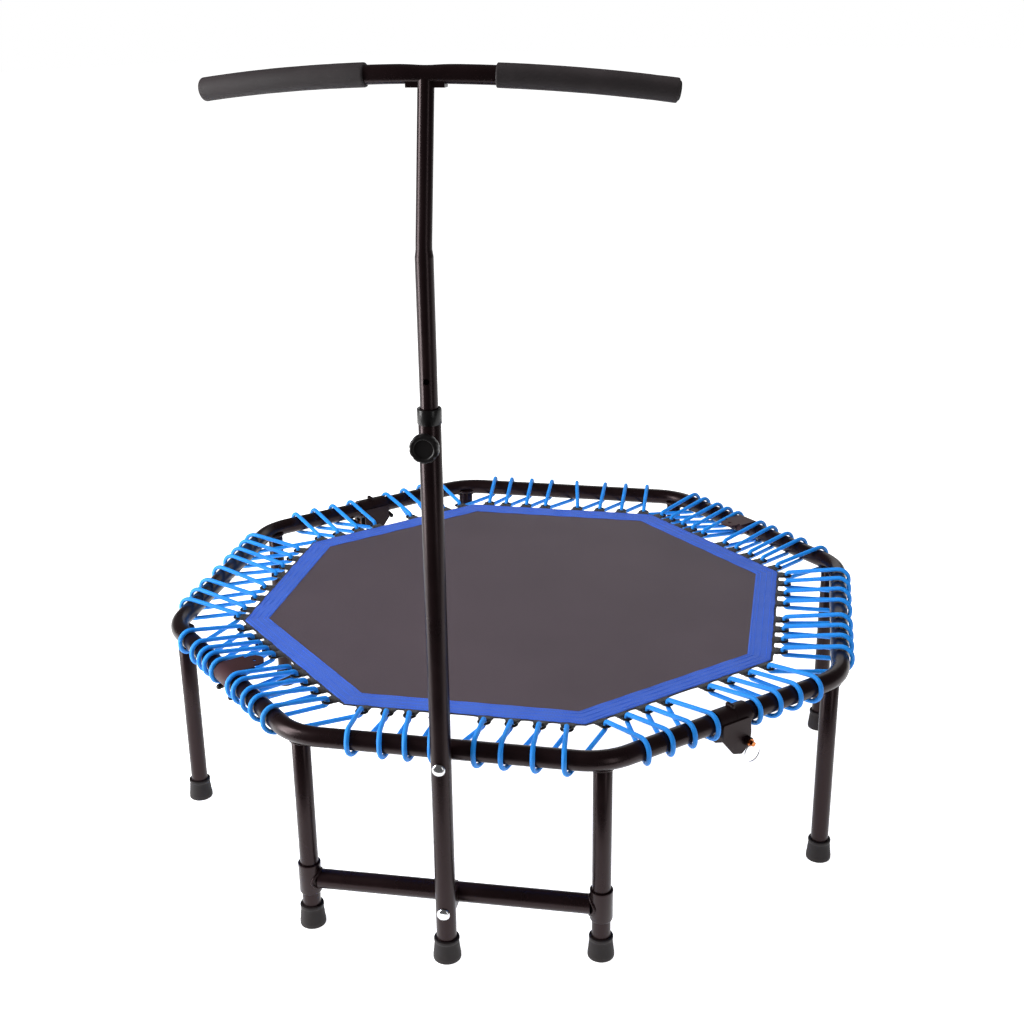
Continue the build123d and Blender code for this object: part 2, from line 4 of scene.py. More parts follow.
import bmesh
import bpy
import numpy as np
from bpy.props import FloatProperty, FloatVectorProperty, IntProperty, PointerProperty
from mathutils import Matrix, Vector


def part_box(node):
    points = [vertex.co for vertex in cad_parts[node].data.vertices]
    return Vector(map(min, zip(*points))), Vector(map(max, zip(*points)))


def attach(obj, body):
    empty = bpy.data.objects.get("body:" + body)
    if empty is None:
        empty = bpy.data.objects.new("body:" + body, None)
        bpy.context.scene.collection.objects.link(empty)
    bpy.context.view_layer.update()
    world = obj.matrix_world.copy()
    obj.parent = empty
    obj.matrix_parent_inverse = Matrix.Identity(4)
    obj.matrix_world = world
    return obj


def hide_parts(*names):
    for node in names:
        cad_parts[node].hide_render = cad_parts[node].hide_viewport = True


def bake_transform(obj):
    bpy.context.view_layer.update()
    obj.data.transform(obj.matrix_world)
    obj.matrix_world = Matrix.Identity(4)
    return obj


bl_info = {
    "name": "Fitness trampoline looks",
    "version": (1, 0, 0),
    "blender": (4, 5, 0),
    "location": "View3D > Sidebar > Trampoline",
    "description": "Builds the visible pieces and finishes of an octagonal fitness trampoline",
    "category": "Object",
}

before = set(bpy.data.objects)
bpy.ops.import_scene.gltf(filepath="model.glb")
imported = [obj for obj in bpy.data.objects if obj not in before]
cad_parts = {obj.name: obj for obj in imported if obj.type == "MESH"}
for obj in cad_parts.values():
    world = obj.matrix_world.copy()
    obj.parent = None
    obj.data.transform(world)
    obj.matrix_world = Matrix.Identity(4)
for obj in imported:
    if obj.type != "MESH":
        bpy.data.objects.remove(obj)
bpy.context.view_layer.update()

# ---- sizes shared with the solid model, in metres
RING = 0.594                     # octagon centre to the ring tube's centreline
TUBE = 0.016
RING_BEND = 0.105
LEG_RING = 0.5784
LEG = 0.015
MAT_EDGE = 0.437
BORDER_EDGE = 0.479
TURN_AT = 0.503                  # distance of the cord's turn from the centre
CORD = 0.004
CORD_PITCH = 0.009               # from a cord's free end to its first wrap
TAN = math.tan(math.radians(22.5))
TUBE_LOW, TUBE_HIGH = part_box("tube_front")
MAT_LOW, MAT_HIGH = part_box("mat_front")
SHIFT_Y = TUBE_LOW.y + RING + TUBE
RING_Z = (TUBE_LOW.z + TUBE_HIGH.z) / 2
MAT_Z = (MAT_LOW.z + MAT_HIGH.z) / 2
POST_Y = SHIFT_Y - 0.6263
POST_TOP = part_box("lower_post")[1].z
KNOB_Z = 0.860
BRACE = 0.016
BRACE_LEFT_Z, BRACE_RIGHT_Z = 0.087, 0.094
SLEEVE = 0.0183                  # outside of the brace's sleeves
BOLT_LOW_Z, BOLT_HIGH_Z = 0.0905, 0.348
BAR = 0.0127
BAR_HALF = 0.323
BAR_LENGTH = 0.65                # along its curve
GRIP_START_LEFT, GRIP_START_RIGHT = 0.081, 0.092
HEM = 0.006                      # mat under the border
BORDER_WIDTH = BORDER_EDGE - MAT_EDGE
SPLIT_RING = 0.0155

# (tab, wrap) places along each side in millimetres, anticlockwise seen from above
FL_START = ((31, 40), (56, 64), (93, 101), (131, 133), (172, 180))
FL_END = ((-168, -168), (-122, -114), (-88, -82), (-60, -58), (-33, -27))
BR_START = ((46, 53), (79, 87), (112, 119), (150, 162), (182, 196))
BR_END = ((-178, -196), (-135, -138), (-98, -98), (-58, -52), (-22, -17))
FOUR_START = ((43, 47), (87, 91), (133, 135), (176, 180))
FOUR_END = ((-172, -180), (-130, -133), (-88, -89), (-46, -42))
FRONT_RUN = ((-164, -152), (-122, -100), (-84, -60), (-42, -20), (38, 47), (82, 89), (127, 138), (171, 186))
BACK_RUN = ((-181, -176), (-132, -128), (-84, -81), (-34, -14), (38, 42), (81, 89), (127, 136), (165, 175))
LEFT_RUN = ((-153, -165), (-108, -130), (-62, -88), (-20, -48), (44, 10), (94, 76), (148, 122), (182, 170))
RIGHT_RUN = ((-158, -176), (-113, -128), (-69, -86), (-26, -41), (46, 25), (94, 78), (143, 129), (186, 173))
# side angle, runs of the quarter's three sides, and the direction in which its cord is laced
QUARTERS = {"front": (-90, (FL_START, FRONT_RUN, FOUR_END), 1), "right": (0, (FOUR_START, RIGHT_RUN, BR_END), -1),
            "back": (90, (BR_START, BACK_RUN, FOUR_END), 1), "left": (180, (FOUR_START, LEFT_RUN, FL_END), -1)}
HALVES = {"front": ("front", "left"), "rear": ("right", "back")}
LEGS = {"fl": -135, "fr": -90, "rf": -45, "rb": 0, "br": 45, "bl": 90, "lb": 135, "lf": 180}
FRONT_LEGS = ("fl", "fr", "lb", "lf")
FOLD_DIR = np.array([math.sqrt(0.5), math.sqrt(0.5), 0.0])


# ================================================================ settings
class TrampolineColours(bpy.types.PropertyGroup):
    cord: FloatVectorProperty(name="Cord", description="Elastic cord's blue", subtype="COLOR", size=3,
                              min=0, max=1, default=(0.0, 0.275, 0.92))
    border: FloatVectorProperty(name="Border", description="Webbing border's blue", subtype="COLOR", size=3,
                                min=0, max=1, default=(0.037, 0.108, 0.50))
    mat: FloatVectorProperty(name="Mat", description="Woven mat's thread", subtype="COLOR", size=3,
                             min=0, max=1, default=(0.058, 0.042, 0.052))
    coat: FloatVectorProperty(name="Powder coat", description="Coat of the frame and handle", subtype="COLOR",
                              size=3, min=0, max=1, default=(0.0046, 0.0020, 0.0023))
    floor: FloatVectorProperty(name="Floor", description="Studio floor", subtype="COLOR", size=3,
                               min=0, max=1, default=(0.88, 0.88, 0.88))


class TrampolineSizes(bpy.types.PropertyGroup):
    tube_sides: IntProperty(name="Tube sides", description="Faces round a frame tube", default=56, min=16, max=128)
    cord_sides: IntProperty(name="Cord sides", description="Faces round the elastic cord", default=16, min=8, max=32)
    stitch: FloatProperty(name="Stitch length", description="Pitch of the border's stitches", unit="LENGTH",
                          default=0.0045, min=0.002, max=0.01)
    scallop: FloatProperty(name="Scallop", description="How far the border draws in between two tabs",
                           unit="LENGTH", default=0.0016, min=0, max=0.004)
    mat_thickness: FloatProperty(name="Mat thickness", description="Woven mat", unit="LENGTH",
                                 default=0.0012, min=0.0005, max=0.003)
    grip_radius: FloatProperty(name="Grip radius", description="Foam sleeve", unit="LENGTH",
                               default=0.0160, min=0.013, max=0.0165)


def colours():
    return bpy.context.scene.trampoline_colours


def sizes():
    return bpy.context.scene.trampoline_sizes


# ================================================================ surfaces
def unit(v):
    """Vectors divided by their lengths."""
    return v / np.maximum(np.linalg.norm(v, axis=-1, keepdims=True), 1e-12)


def on_side(angle, s, n, z):
    """Point n along a side's outward normal and s along the side, for whole arrays of each."""
    a = np.radians(np.asarray(angle, float))
    s, n, z = (np.asarray(x, float) for x in (s, n, z))
    x = n * np.cos(a) - s * np.sin(a)
    y = n * np.sin(a) + s * np.cos(a) + SHIFT_Y
    return np.stack(np.broadcast_arrays(x, y, z), axis=-1)


def leg_centre(spot, z=0.0):
    """Axis of a leg: the octagon corner of the legs' own smaller octagon."""
    return on_side(LEGS[spot], LEG_RING * TAN, LEG_RING, z)


def patch_faces(rows, cols, wrap_rows, wrap_cols):
    """Corner numbers of each quad of a rows by cols grid, and its corners on the unwrapped grid."""
    i, j = np.meshgrid(np.arange(rows if wrap_rows else rows - 1),
                       np.arange(cols if wrap_cols else cols - 1), indexing="ij")
    i, j = i.ravel(), j.ravel()
    near = np.stack([i, i, i + 1, i + 1], 1)
    side = np.stack([j, j + 1, j + 1, j], 1)
    return (near % rows) * cols + side % cols, near, side


def piece(name, patches, material, body=None, stands_for=(), sharp=38, merge=1e-6):
    """One mesh object from grid patches (points, wrap_rows, wrap_cols, uv) that share a material.

    uv, if given, is a grid one larger along each wrapped direction, in metres."""
    points, faces, uvs, start = [], [], [], 0
    for grid, wrap_rows, wrap_cols, uv in patches:
        rows, cols = grid.shape[:2]
        quads, near, side = patch_faces(rows, cols, wrap_rows, wrap_cols)
        points.append(grid.reshape(-1, 3))
        faces.append(quads + start)
        uvs.append(np.zeros((len(quads), 4, 2)) if uv is None else uv[near, side])
        start += rows * cols
    points, faces, uvs = np.concatenate(points), np.concatenate(faces), np.concatenate(uvs)
    mesh = bpy.data.meshes.new(name)
    mesh.vertices.add(len(points))
    mesh.vertices.foreach_set("co", points.astype(np.float32).ravel())
    mesh.loops.add(faces.size)
    mesh.loops.foreach_set("vertex_index", faces.astype(np.int32).ravel())
    mesh.polygons.add(len(faces))
    mesh.polygons.foreach_set("loop_start", np.arange(0, faces.size, 4, dtype=np.int32))
    mesh.update(calc_edges=True)
    layer = mesh.uv_layers.new(name="UVMap")
    layer.data.foreach_set("uv", uvs.astype(np.float32).ravel())
    tidy_mesh(mesh, merge)
    mesh.polygons.foreach_set("use_smooth", np.ones(len(mesh.polygons), bool))
    mesh.set_sharp_from_angle(angle=math.radians(sharp))
    obj = bpy.data.objects.new(name, mesh)
    bpy.context.scene.collection.objects.link(obj)
    mesh.materials.append(material)
    if stands_for:
        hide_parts(*stands_for)
    if body:
        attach(obj, body)
    return obj


def tidy_mesh(mesh, merge):
    """Joins doubled points at seams and poles and turns every face outwards."""
    work = bmesh.new()
    work.from_mesh(mesh)
    bmesh.ops.remove_doubles(work, verts=work.verts, dist=merge)
    bmesh.ops.dissolve_degenerate(work, edges=work.edges, dist=1e-9)
    bmesh.ops.recalc_face_normals(work, faces=work.faces)
    work.to_mesh(mesh)
    work.free()
    mesh.update()


def sweep(path, radius, sides, reference, squash=None, caps=True):
    """Round section carried along a path: point + radius (cos U + sin V), where V is the tangent crossed
    with U and U is the reference direction made square to the tangent. Radius may change along the path,
    squash = (a, b) scales the two directions of the section. Returns one patch."""
    path = np.asarray(path, float)
    radius = np.broadcast_to(np.asarray(radius, float), len(path)).copy()
    tangent = unit(np.gradient(path, axis=0))
    along = np.concatenate([[0], np.cumsum(np.linalg.norm(np.diff(path, axis=0), axis=1))])
    if caps:
        path = np.concatenate([path[:1], path, path[-1:]])
        radius = np.concatenate([[0], radius, [0]])
        tangent = np.concatenate([tangent[:1], tangent, tangent[-1:]])
        along = np.concatenate([[along[0]], along, [along[-1]]])
    reference = np.broadcast_to(np.asarray(reference, float), tangent.shape) if np.ndim(reference) == 1 \
        else np.concatenate([reference[:1], reference, reference[-1:]]) if caps else reference
    u = unit(reference - (reference * tangent).sum(1, keepdims=True) * tangent)
    v = np.cross(tangent, u)
    a, b = (1.0, 1.0) if squash is None else squash
    a, b = np.broadcast_to(a, len(path)), np.broadcast_to(b, len(path))
    turn = np.linspace(0, 2 * np.pi, sides + 1)
    ring = (np.cos(turn[:-1])[None, :, None] * (a[:, None] * u)[:, None]
            + np.sin(turn[:-1])[None, :, None] * (b[:, None] * v)[:, None])
    grid = path[:, None] + radius[:, None, None] * ring
    width = turn * max(radius.max(), 1e-6)
    uv = np.stack(np.meshgrid(along, width, indexing="ij"), -1)
    return grid, False, True, uv


def lathe(profile, centre, axis, sides=48, reference=(1, 0, 0)):
    """Profile of (radius, height) pairs turned about an axis through a centre."""
    profile = np.asarray(profile, float)
    axis = unit(np.asarray(axis, float))
    u = unit(np.asarray(reference, float) - np.dot(reference, axis) * axis)
    v = np.cross(axis, u)
    turn = np.linspace(0, 2 * np.pi, sides + 1)
    spoke = np.cos(turn[:-1])[:, None] * u + np.sin(turn[:-1])[:, None] * v
    grid = np.asarray(centre, float) + profile[:, None, 1:] * axis + profile[:, None, :1] * spoke[None]
    along = np.concatenate([[0], np.cumsum(np.linalg.norm(np.diff(profile, axis=0), axis=1))])
    uv = np.stack(np.meshgrid(along, turn * profile[:, 0].max(), indexing="ij"), -1)
    return grid, False, True, uv


def rounded_route(corners, radii, samples):
    """Straight runs joined by tangent arcs: at each inner corner the arc centre lies on the bisector,
    radius / sin(half angle) from the corner, and the arc turns by 180 degrees minus the corner's angle."""
    corners, radii = np.asarray(corners, float), np.asarray(radii, float)
    before, at, after = corners[:-2], corners[1:-1], corners[2:]
    a, b = unit(before - at), unit(after - at)
    half = np.arccos(np.clip((a * b).sum(1), -1, 1)) / 2
    middle = unit(a + b)
    centre = at + middle * (radii / np.sin(half))[:, None]
    sweep_half = np.pi / 2 - half
    across = unit(b - a)
    step = np.linspace(-1, 1, samples)[None] * sweep_half[:, None]
    arc = (centre[:, None] - middle[:, None] * (np.cos(step) * radii[:, None])[..., None]
           + across[:, None] * (np.sin(step) * radii[:, None])[..., None])
    return np.concatenate([corners[:1], arc.reshape(-1, 3), corners[-1:]])


def resample(path, step):
    """The same line with points at an even spacing along it."""
    along = np.concatenate([[0], np.cumsum(np.linalg.norm(np.diff(path, axis=0), axis=1))])
    fresh = np.linspace(0, along[-1], max(int(along[-1] / step), 4))
    return np.stack([np.interp(fresh, along, path[:, k]) for k in range(3)], 1)


def weld_bead(path, radius, reference, seed):
    """Bead of weld along a closed path: a round section whose radius ripples with each puddle."""
    rng = np.random.default_rng(seed)
    path = resample(path, 0.0009)
    along = np.arange(len(path)) * 0.0009
    ripple = 1 + 0.16 * np.abs(np.sin(along * np.pi / 0.0032)) + 0.05 * rng.standard_normal(len(path))
    return sweep(path, radius * ripple, 10, reference)


def saddle_curve(centre, radius, ring_dir, ring_point, ring_radius, angles):
    """Where a vertical tube meets the underside of a level tube: height = centre height minus
    the square root of (ring radius squared minus the distance from the ring's axis squared)."""
    x = centre[0] + radius * np.cos(angles)
    y = centre[1] + radius * np.sin(angles)
    off = (x - ring_point[0]) * -ring_dir[1] + (y - ring_point[1]) * ring_dir[0]
    z = ring_point[2] - np.sqrt(np.maximum(ring_radius ** 2 - off ** 2, (0.35 * ring_radius) ** 2))
    return np.stack([x, y, z], 1)


# ================================================================ shader groups
def new_group(name, inputs, outputs):
    """Empty shader group with named float or vector sockets."""
    group = bpy.data.node_groups.new(name, "ShaderNodeTree")
    kinds = {"f": "NodeSocketFloat", "v": "NodeSocketVector"}
    for label, kind, value in inputs:
        socket = group.interface.new_socket(name=label, in_out="INPUT", socket_type=kinds[kind])
        if value is not None:
            socket.default_value = value
    for label, kind in outputs:
        group.interface.new_socket(name=label, in_out="OUTPUT", socket_type=kinds[kind])
    return group, group.nodes.new("NodeGroupInput"), group.nodes.new("NodeGroupOutput")


def plug(tree, target, value):
    """Links a socket, or writes a plain value, into a target socket."""
    if isinstance(value, bpy.types.NodeSocket):
        tree.links.new(value, target)
    elif value is not None:
        target.default_value = value


def calc(tree, operation, a, b=None):
    """Math node on sockets or numbers."""
    node = tree.nodes.new("ShaderNodeMath")
    node.operation = operation
    for socket, value in zip(node.inputs, (a, b)):
        plug(tree, socket, value)
    return node.outputs[0]


def noise(tree, vector, scale, detail=2.0, rough=0.5):
    """Noise texture's value."""
    node = tree.nodes.new("ShaderNodeTexNoise")
    plug(tree, node.inputs["Vector"], vector)
    plug(tree, node.inputs["Scale"], scale)
    node.inputs["Detail"].default_value = detail
    node.inputs["Roughness"].default_value = rough
    return node.outputs["Fac"]


def remap(tree, value, low, high, to_low=0.0, to_high=1.0):
    """Value carried from one range to another and held inside it."""
    node = tree.nodes.new("ShaderNodeMapRange")
    for label, item in (("Value", value), ("From Min", low), ("From Max", high),
                        ("To Min", to_low), ("To Max", to_high)):
        plug(tree, node.inputs[label], item)
    return node.outputs["Result"]


def mix(tree, factor, a, b):
    """Blend of two colours."""
    node = tree.nodes.new("ShaderNodeMix")
    node.data_type = "RGBA"
    plug(tree, node.inputs[0], factor)
    plug(tree, node.inputs[6], a)
    plug(tree, node.inputs[7], b)
    return node.outputs[2]


def split(tree, vector):
    """The three components of a vector."""
    node = tree.nodes.new("ShaderNodeSeparateXYZ")
    plug(tree, node.inputs[0], vector)
    return node.outputs


def surface_grain():
    """Two sizes of noise: a fine height for orange peel or moulding, and slow cloudy variation."""
    if "Surface grain" in bpy.data.node_groups:
        return bpy.data.node_groups["Surface grain"]
    group, start, end = new_group("Surface grain", (("Vector", "v", None), ("Fine scale", "f", 900.0),
                                                    ("Cloud scale", "f", 14.0)),
                                  (("Height", "f"), ("Cloud", "f"), ("Specks", "f")))
    fine = noise(group, start.outputs["Vector"], start.outputs["Fine scale"], 3.0, 0.6)
    cloud = noise(group, start.outputs["Vector"], start.outputs["Cloud scale"], 4.0, 0.55)
    speck_scale = calc(group, "MULTIPLY", start.outputs["Cloud scale"], 22.0)
    speck = noise(group, start.outputs["Vector"], speck_scale, 2.0, 0.7)
    group.links.new(fine, end.inputs["Height"])
    group.links.new(remap(group, cloud, 0.3, 0.7), end.inputs["Cloud"])
    group.links.new(remap(group, speck, 0.64, 0.76), end.inputs["Specks"])
    return group


def plain_weave():
    """Over-and-under threads: warp height is the sine across a warp thread where the chequer of thread
    numbers is even, weft height is the sine across a weft thread where it is odd."""
    if "Plain weave" in bpy.data.node_groups:
        return bpy.data.node_groups["Plain weave"]
    group, start, end = new_group("Plain weave", (("Vector", "v", None), ("Threads across", "f", 700.0),
                                                  ("Threads along", "f", 700.0)),
                                  (("Height", "f"), ("Over", "f"), ("Gap", "f")))
    x, y, _ = split(group, start.outputs["Vector"])
    u = calc(group, "MULTIPLY", x, start.outputs["Threads across"])
    v = calc(group, "MULTIPLY", y, start.outputs["Threads along"])
    chequer = calc(group, "MODULO", calc(group, "ADD", calc(group, "FLOOR", u), calc(group, "FLOOR", v)), 2.0)
    over = calc(group, "ABSOLUTE", chequer)
    crown_u = calc(group, "ABSOLUTE", calc(group, "SINE", calc(group, "MULTIPLY", u, math.pi)))
    crown_v = calc(group, "ABSOLUTE", calc(group, "SINE", calc(group, "MULTIPLY", v, math.pi)))
    both = calc(group, "MULTIPLY", crown_u, crown_v)
    crown = calc(group, "ADD", calc(group, "MULTIPLY", crown_u, over),
                 calc(group, "MULTIPLY", crown_v, calc(group, "SUBTRACT", 1.0, over)))
    height = calc(group, "MULTIPLY", crown, calc(group, "POWER", both, 0.3))
    gap = calc(group, "SUBTRACT", 1.0, calc(group, "POWER", calc(group, "MAXIMUM", crown_u, crown_v), 0.5))
    group.links.new(height, end.inputs["Height"])
    group.links.new(over, end.inputs["Over"])
    group.links.new(gap, end.inputs["Gap"])
    return group


def braid_cover():
    """Braided sleeve: the product of two sines that run as opposite spirals along the cord."""
    if "Braid cover" in bpy.data.node_groups:
        return bpy.data.node_groups["Braid cover"]
    group, start, end = new_group("Braid cover", (("Vector", "v", None), ("Pitch", "f", 260.0),
                                                  ("Around", "f", 480.0)),
                                  (("Height", "f"), ("Strand", "f")))
    x, y, _ = split(group, start.outputs["Vector"])
    u = calc(group, "MULTIPLY", x, start.outputs["Pitch"])
    v = calc(group, "MULTIPLY", y, start.outputs["Around"])
    left = calc(group, "SINE", calc(group, "MULTIPLY", calc(group, "ADD", u, v), math.pi))
    right = calc(group, "SINE", calc(group, "MULTIPLY", calc(group, "SUBTRACT", u, v), math.pi))
    height = calc(group, "ABSOLUTE", calc(group, "MULTIPLY", left, right))
    strand = remap(group, calc(group, "MULTIPLY", left, right), -0.15, 0.15)
    group.links.new(height, end.inputs["Height"])
    group.links.new(strand, end.inputs["Strand"])
    return group


# ================================================================ materials
def coordinates(tree, kind):
    if kind == "UV":
        node = tree.nodes.new("ShaderNodeUVMap")
        node.uv_map = "UVMap"
        return node.outputs["UV"]
    return tree.nodes.new("ShaderNodeTexCoord").outputs["Object"]


def placed(tree, group, vector, **values):
    """A shader group in a material, with its own values."""
    node = tree.nodes.new("ShaderNodeGroup")
    node.node_tree = group
    tree.links.new(vector, node.inputs["Vector"])
    for label, value in values.items():
        plug(tree, node.inputs[label.replace("_", " ")], value)
    return node.outputs


def start_material(name):
    if name in bpy.data.materials:
        return bpy.data.materials[name], None, None
    material = bpy.data.materials.new(name)
    material.use_nodes = True
    return material, material.node_tree, material.node_tree.nodes["Principled BSDF"]


def raise_surface(tree, shader, height, strength, distance):
    bump = tree.nodes.new("ShaderNodeBump")
    bump.inputs["Strength"].default_value = strength
    bump.inputs["Distance"].default_value = distance
    plug(tree, bump.inputs["Height"], height)
    tree.links.new(bump.outputs["Normal"], shader.inputs["Normal"])


def colour4(rgb, gain=1.0):
    return (rgb[0] * gain, rgb[1] * gain, rgb[2] * gain, 1.0)


def powder_coat(name="Powder coat", rough=0.33, gain=1.0):
    """Semi-gloss black coat with slight orange peel, cloudy gloss and a few pale specks of dust."""
    material, tree, shader = start_material(name)
    if tree is None:
        return material
    base = colours().coat
    out = placed(tree, surface_grain(), coordinates(tree, "Object"), Fine_scale=420.0, Cloud_scale=11.0)
    dusty = mix(tree, out["Specks"], colour4(base, gain), colour4(base, 2.6 * gain))
    tree.links.new(mix(tree, out["Cloud"], dusty, colour4(base, 1.7 * gain)), shader.inputs["Base Color"])
    tree.links.new(remap(tree, out["Cloud"], 0.0, 1.0, rough - 0.05, rough + 0.07), shader.inputs["Roughness"])
    raise_surface(tree, shader, out["Height"], 0.10, 0.0004)
    shader.inputs["Specular IOR Level"].default_value = 0.24
    shader.inputs["Specular Tint"].default_value = (1.0, 0.76, 0.78, 1.0)
    return material


def moulded(name, base, rough, fine, bump, spec=0.4):
    """Moulded rubber, plastic or foam: fine pitting and cloudy wear over one base colour."""
    material, tree, shader = start_material(name)
    if tree is None:
        return material
    out = placed(tree, surface_grain(), coordinates(tree, "Object"), Fine_scale=fine, Cloud_scale=16.0)
    pale = mix(tree, out["Cloud"], colour4(base), colour4(base, 1.75))
    tree.links.new(mix(tree, out["Specks"], pale, colour4(base, 2.6)), shader.inputs["Base Color"])
    tree.links.new(remap(tree, out["Cloud"], 0.0, 1.0, rough - 0.06, rough + 0.08), shader.inputs["Roughness"])
    raise_surface(tree, shader, out["Height"], bump, 0.0006)
    shader.inputs["Specular IOR Level"].default_value = spec
    return material


def plated(name, base, rough):
    """Bright plated metal with faint cloudy tarnish and fine polishing marks."""
    material, tree, shader = start_material(name)
    if tree is None:
        return material
    out = placed(tree, surface_grain(), coordinates(tree, "Object"), Fine_scale=1600.0, Cloud_scale=120.0)
    tree.links.new(mix(tree, out["Cloud"], colour4(base), colour4(base, 0.72)), shader.inputs["Base Color"])
    tree.links.new(remap(tree, out["Cloud"], 0.0, 1.0, rough, rough + 0.14), shader.inputs["Roughness"])
    shader.inputs["Metallic"].default_value = 1.0
    raise_surface(tree, shader, out["Height"], 0.05, 0.0002)
    return material


# tint is the gain of the painted highlight on the thread crowns
def woven(name, base, across, along, kind, rough, bump, sheen, tint=1.5, alpha=None):
    """Woven cloth: thread crowns are painted paler and the gaps between threads painted darker, a painted highlight and
    painted shade; slow cloudy fading over the whole piece.
    """
    material, tree, shader = start_material(name)
    if tree is None:
        return material
    vector = coordinates(tree, kind)
    weave = placed(tree, plain_weave(), vector, Threads_across=across, Threads_along=along)
    cloud = placed(tree, surface_grain(), coordinates(tree, "Object"), Fine_scale=300.0, Cloud_scale=5.0)
    # painted shade: the gaps between threads take 0.55 of the base colour; painted highlight: the thread crowns take
    # tint times the base colour
    thread = mix(tree, weave["Height"], colour4(base, 0.55), colour4(base, tint))
    # where the other thread lies on top the colour is paler still
    turned = mix(tree, weave["Over"], thread, colour4(base, 1.12 * tint))
    weave_with_painted_shade = mix(tree, 0.5, thread, turned)
    tree.links.new(mix(tree, calc(tree, "MULTIPLY", cloud["Cloud"], 0.3), weave_with_painted_shade, colour4(base, 1.7)),
                   shader.inputs["Base Color"])
    tree.links.new(remap(tree, weave["Height"], 0.0, 1.0, rough + 0.1, rough - 0.05), shader.inputs["Roughness"])
    raise_surface(tree, shader, weave["Height"], bump, 0.0005)
    shader.inputs["Sheen Weight"].default_value = sheen
    shader.inputs["Sheen Roughness"].default_value = 0.4
    if alpha is not None:
        seen = remap(tree, weave["Gap"], 0.0, 1.0, 1.0, alpha)
        tree.links.new(seen, shader.inputs["Alpha"])
    return material


def braided(name, base):
    """Braided elastic cover with a painted highlight on the crowns, a painted shade line between strands and a paler
    highlight blue painted on one set of braid cells.
    """
    material, tree, shader = start_material(name)
    if tree is None:
        return material
    braid = placed(tree, braid_cover(), coordinates(tree, "UV"), Pitch=330.0, Around=420.0)
    cloud = placed(tree, surface_grain(), coordinates(tree, "Object"), Fine_scale=300.0, Cloud_scale=9.0)
    # painted shade in the grooves between strands (0.78 of the base) and painted highlight on the crowns (1.16 of the
    # base)
    strand = mix(tree, braid["Height"], colour4(base, 0.78), colour4(base, 1.16))
    # painted highlight: one set of braid cells is pulled 30 percent toward a paler highlight blue
    painted_strand_highlight = mix(tree, calc(tree, "MULTIPLY", braid["Strand"], 0.3), strand, (0.01, 0.34, 0.98, 1))
    tree.links.new(mix(tree, calc(tree, "MULTIPLY", cloud["Cloud"], 0.25), painted_strand_highlight, colour4(base, 0.85)),
                   shader.inputs["Base Color"])
    tree.links.new(remap(tree, braid["Height"], 0.0, 1.0, 0.6, 0.42), shader.inputs["Roughness"])
    raise_surface(tree, shader, braid["Height"], 0.55, 0.0006)
    shader.inputs["Sheen Weight"].default_value = 0.04
    return material


def frame_coat():
    return powder_coat("Powder coat", 0.28)


def rubber():
    return moulded("Foot rubber", (0.0095, 0.0072, 0.0074), 0.58, 700.0, 0.3, 0.24)


def black_plastic():
    return moulded("Black plastic", (0.0040, 0.0034, 0.0036), 0.30, 900.0, 0.10, 0.26)


def foam():
    return moulded("Grip foam", (0.0175, 0.0140, 0.0150), 0.62, 950.0, 0.5, 0.3)


def black_web():
    # the default crown gain of 1.5 paints a highlight on the webbing's thread crowns
    return woven("Black webbing", (0.012, 0.011, 0.012), 1100.0, 700.0, "UV", 0.66, 0.5, 0.2)


def chrome():
    return plated("Bright plating", (0.78, 0.78, 0.8), 0.1)


# ================================================================ route data
def stops_of(quarter):
    """Side angle, tab place and wrap place of each loop of a quarter's cord in lacing order, in metres."""
    angle, runs, direction = QUARTERS[quarter]
    rows = [(angle - 45 + 45 * k, tab / 1000, wrap / 1000) for k, run in enumerate(runs) for tab, wrap in run]
    return np.array(rows)[::direction]


def quarter_line(quarter):
    """Centreline of a quarter of the ring, from the middle of one diagonal side to the next."""
    angle = QUARTERS[quarter][0]
    corners = np.stack([on_side(angle - 45, 0.0003, RING, RING_Z), on_side(angle - 45, RING * TAN, RING, RING_Z),
                        on_side(angle, RING * TAN, RING, RING_Z), on_side(angle + 45, -0.0003, RING, RING_Z)])
    route = rounded_route(corners, [RING_BEND, RING_BEND], 28)
    return resample(route, 0.006)


# ================================================================ operators
class MAKE_OT_ring(bpy.types.Operator):
    """Four bent quarters of the octagonal ring tube"""
    bl_idname = "trampoline.ring"
    bl_label = "Ring tubes"

    def execute(self, context):
        for half, quarters in HALVES.items():
            for quarter in quarters:
                patch = sweep(quarter_line(quarter), TUBE, sizes().tube_sides, (0, 0, 1))
                piece(f"ring_tube_{quarter}", [patch], frame_coat(), f"frame_{half}",
                      [f"tube_{quarter}"])
        return {"FINISHED"}


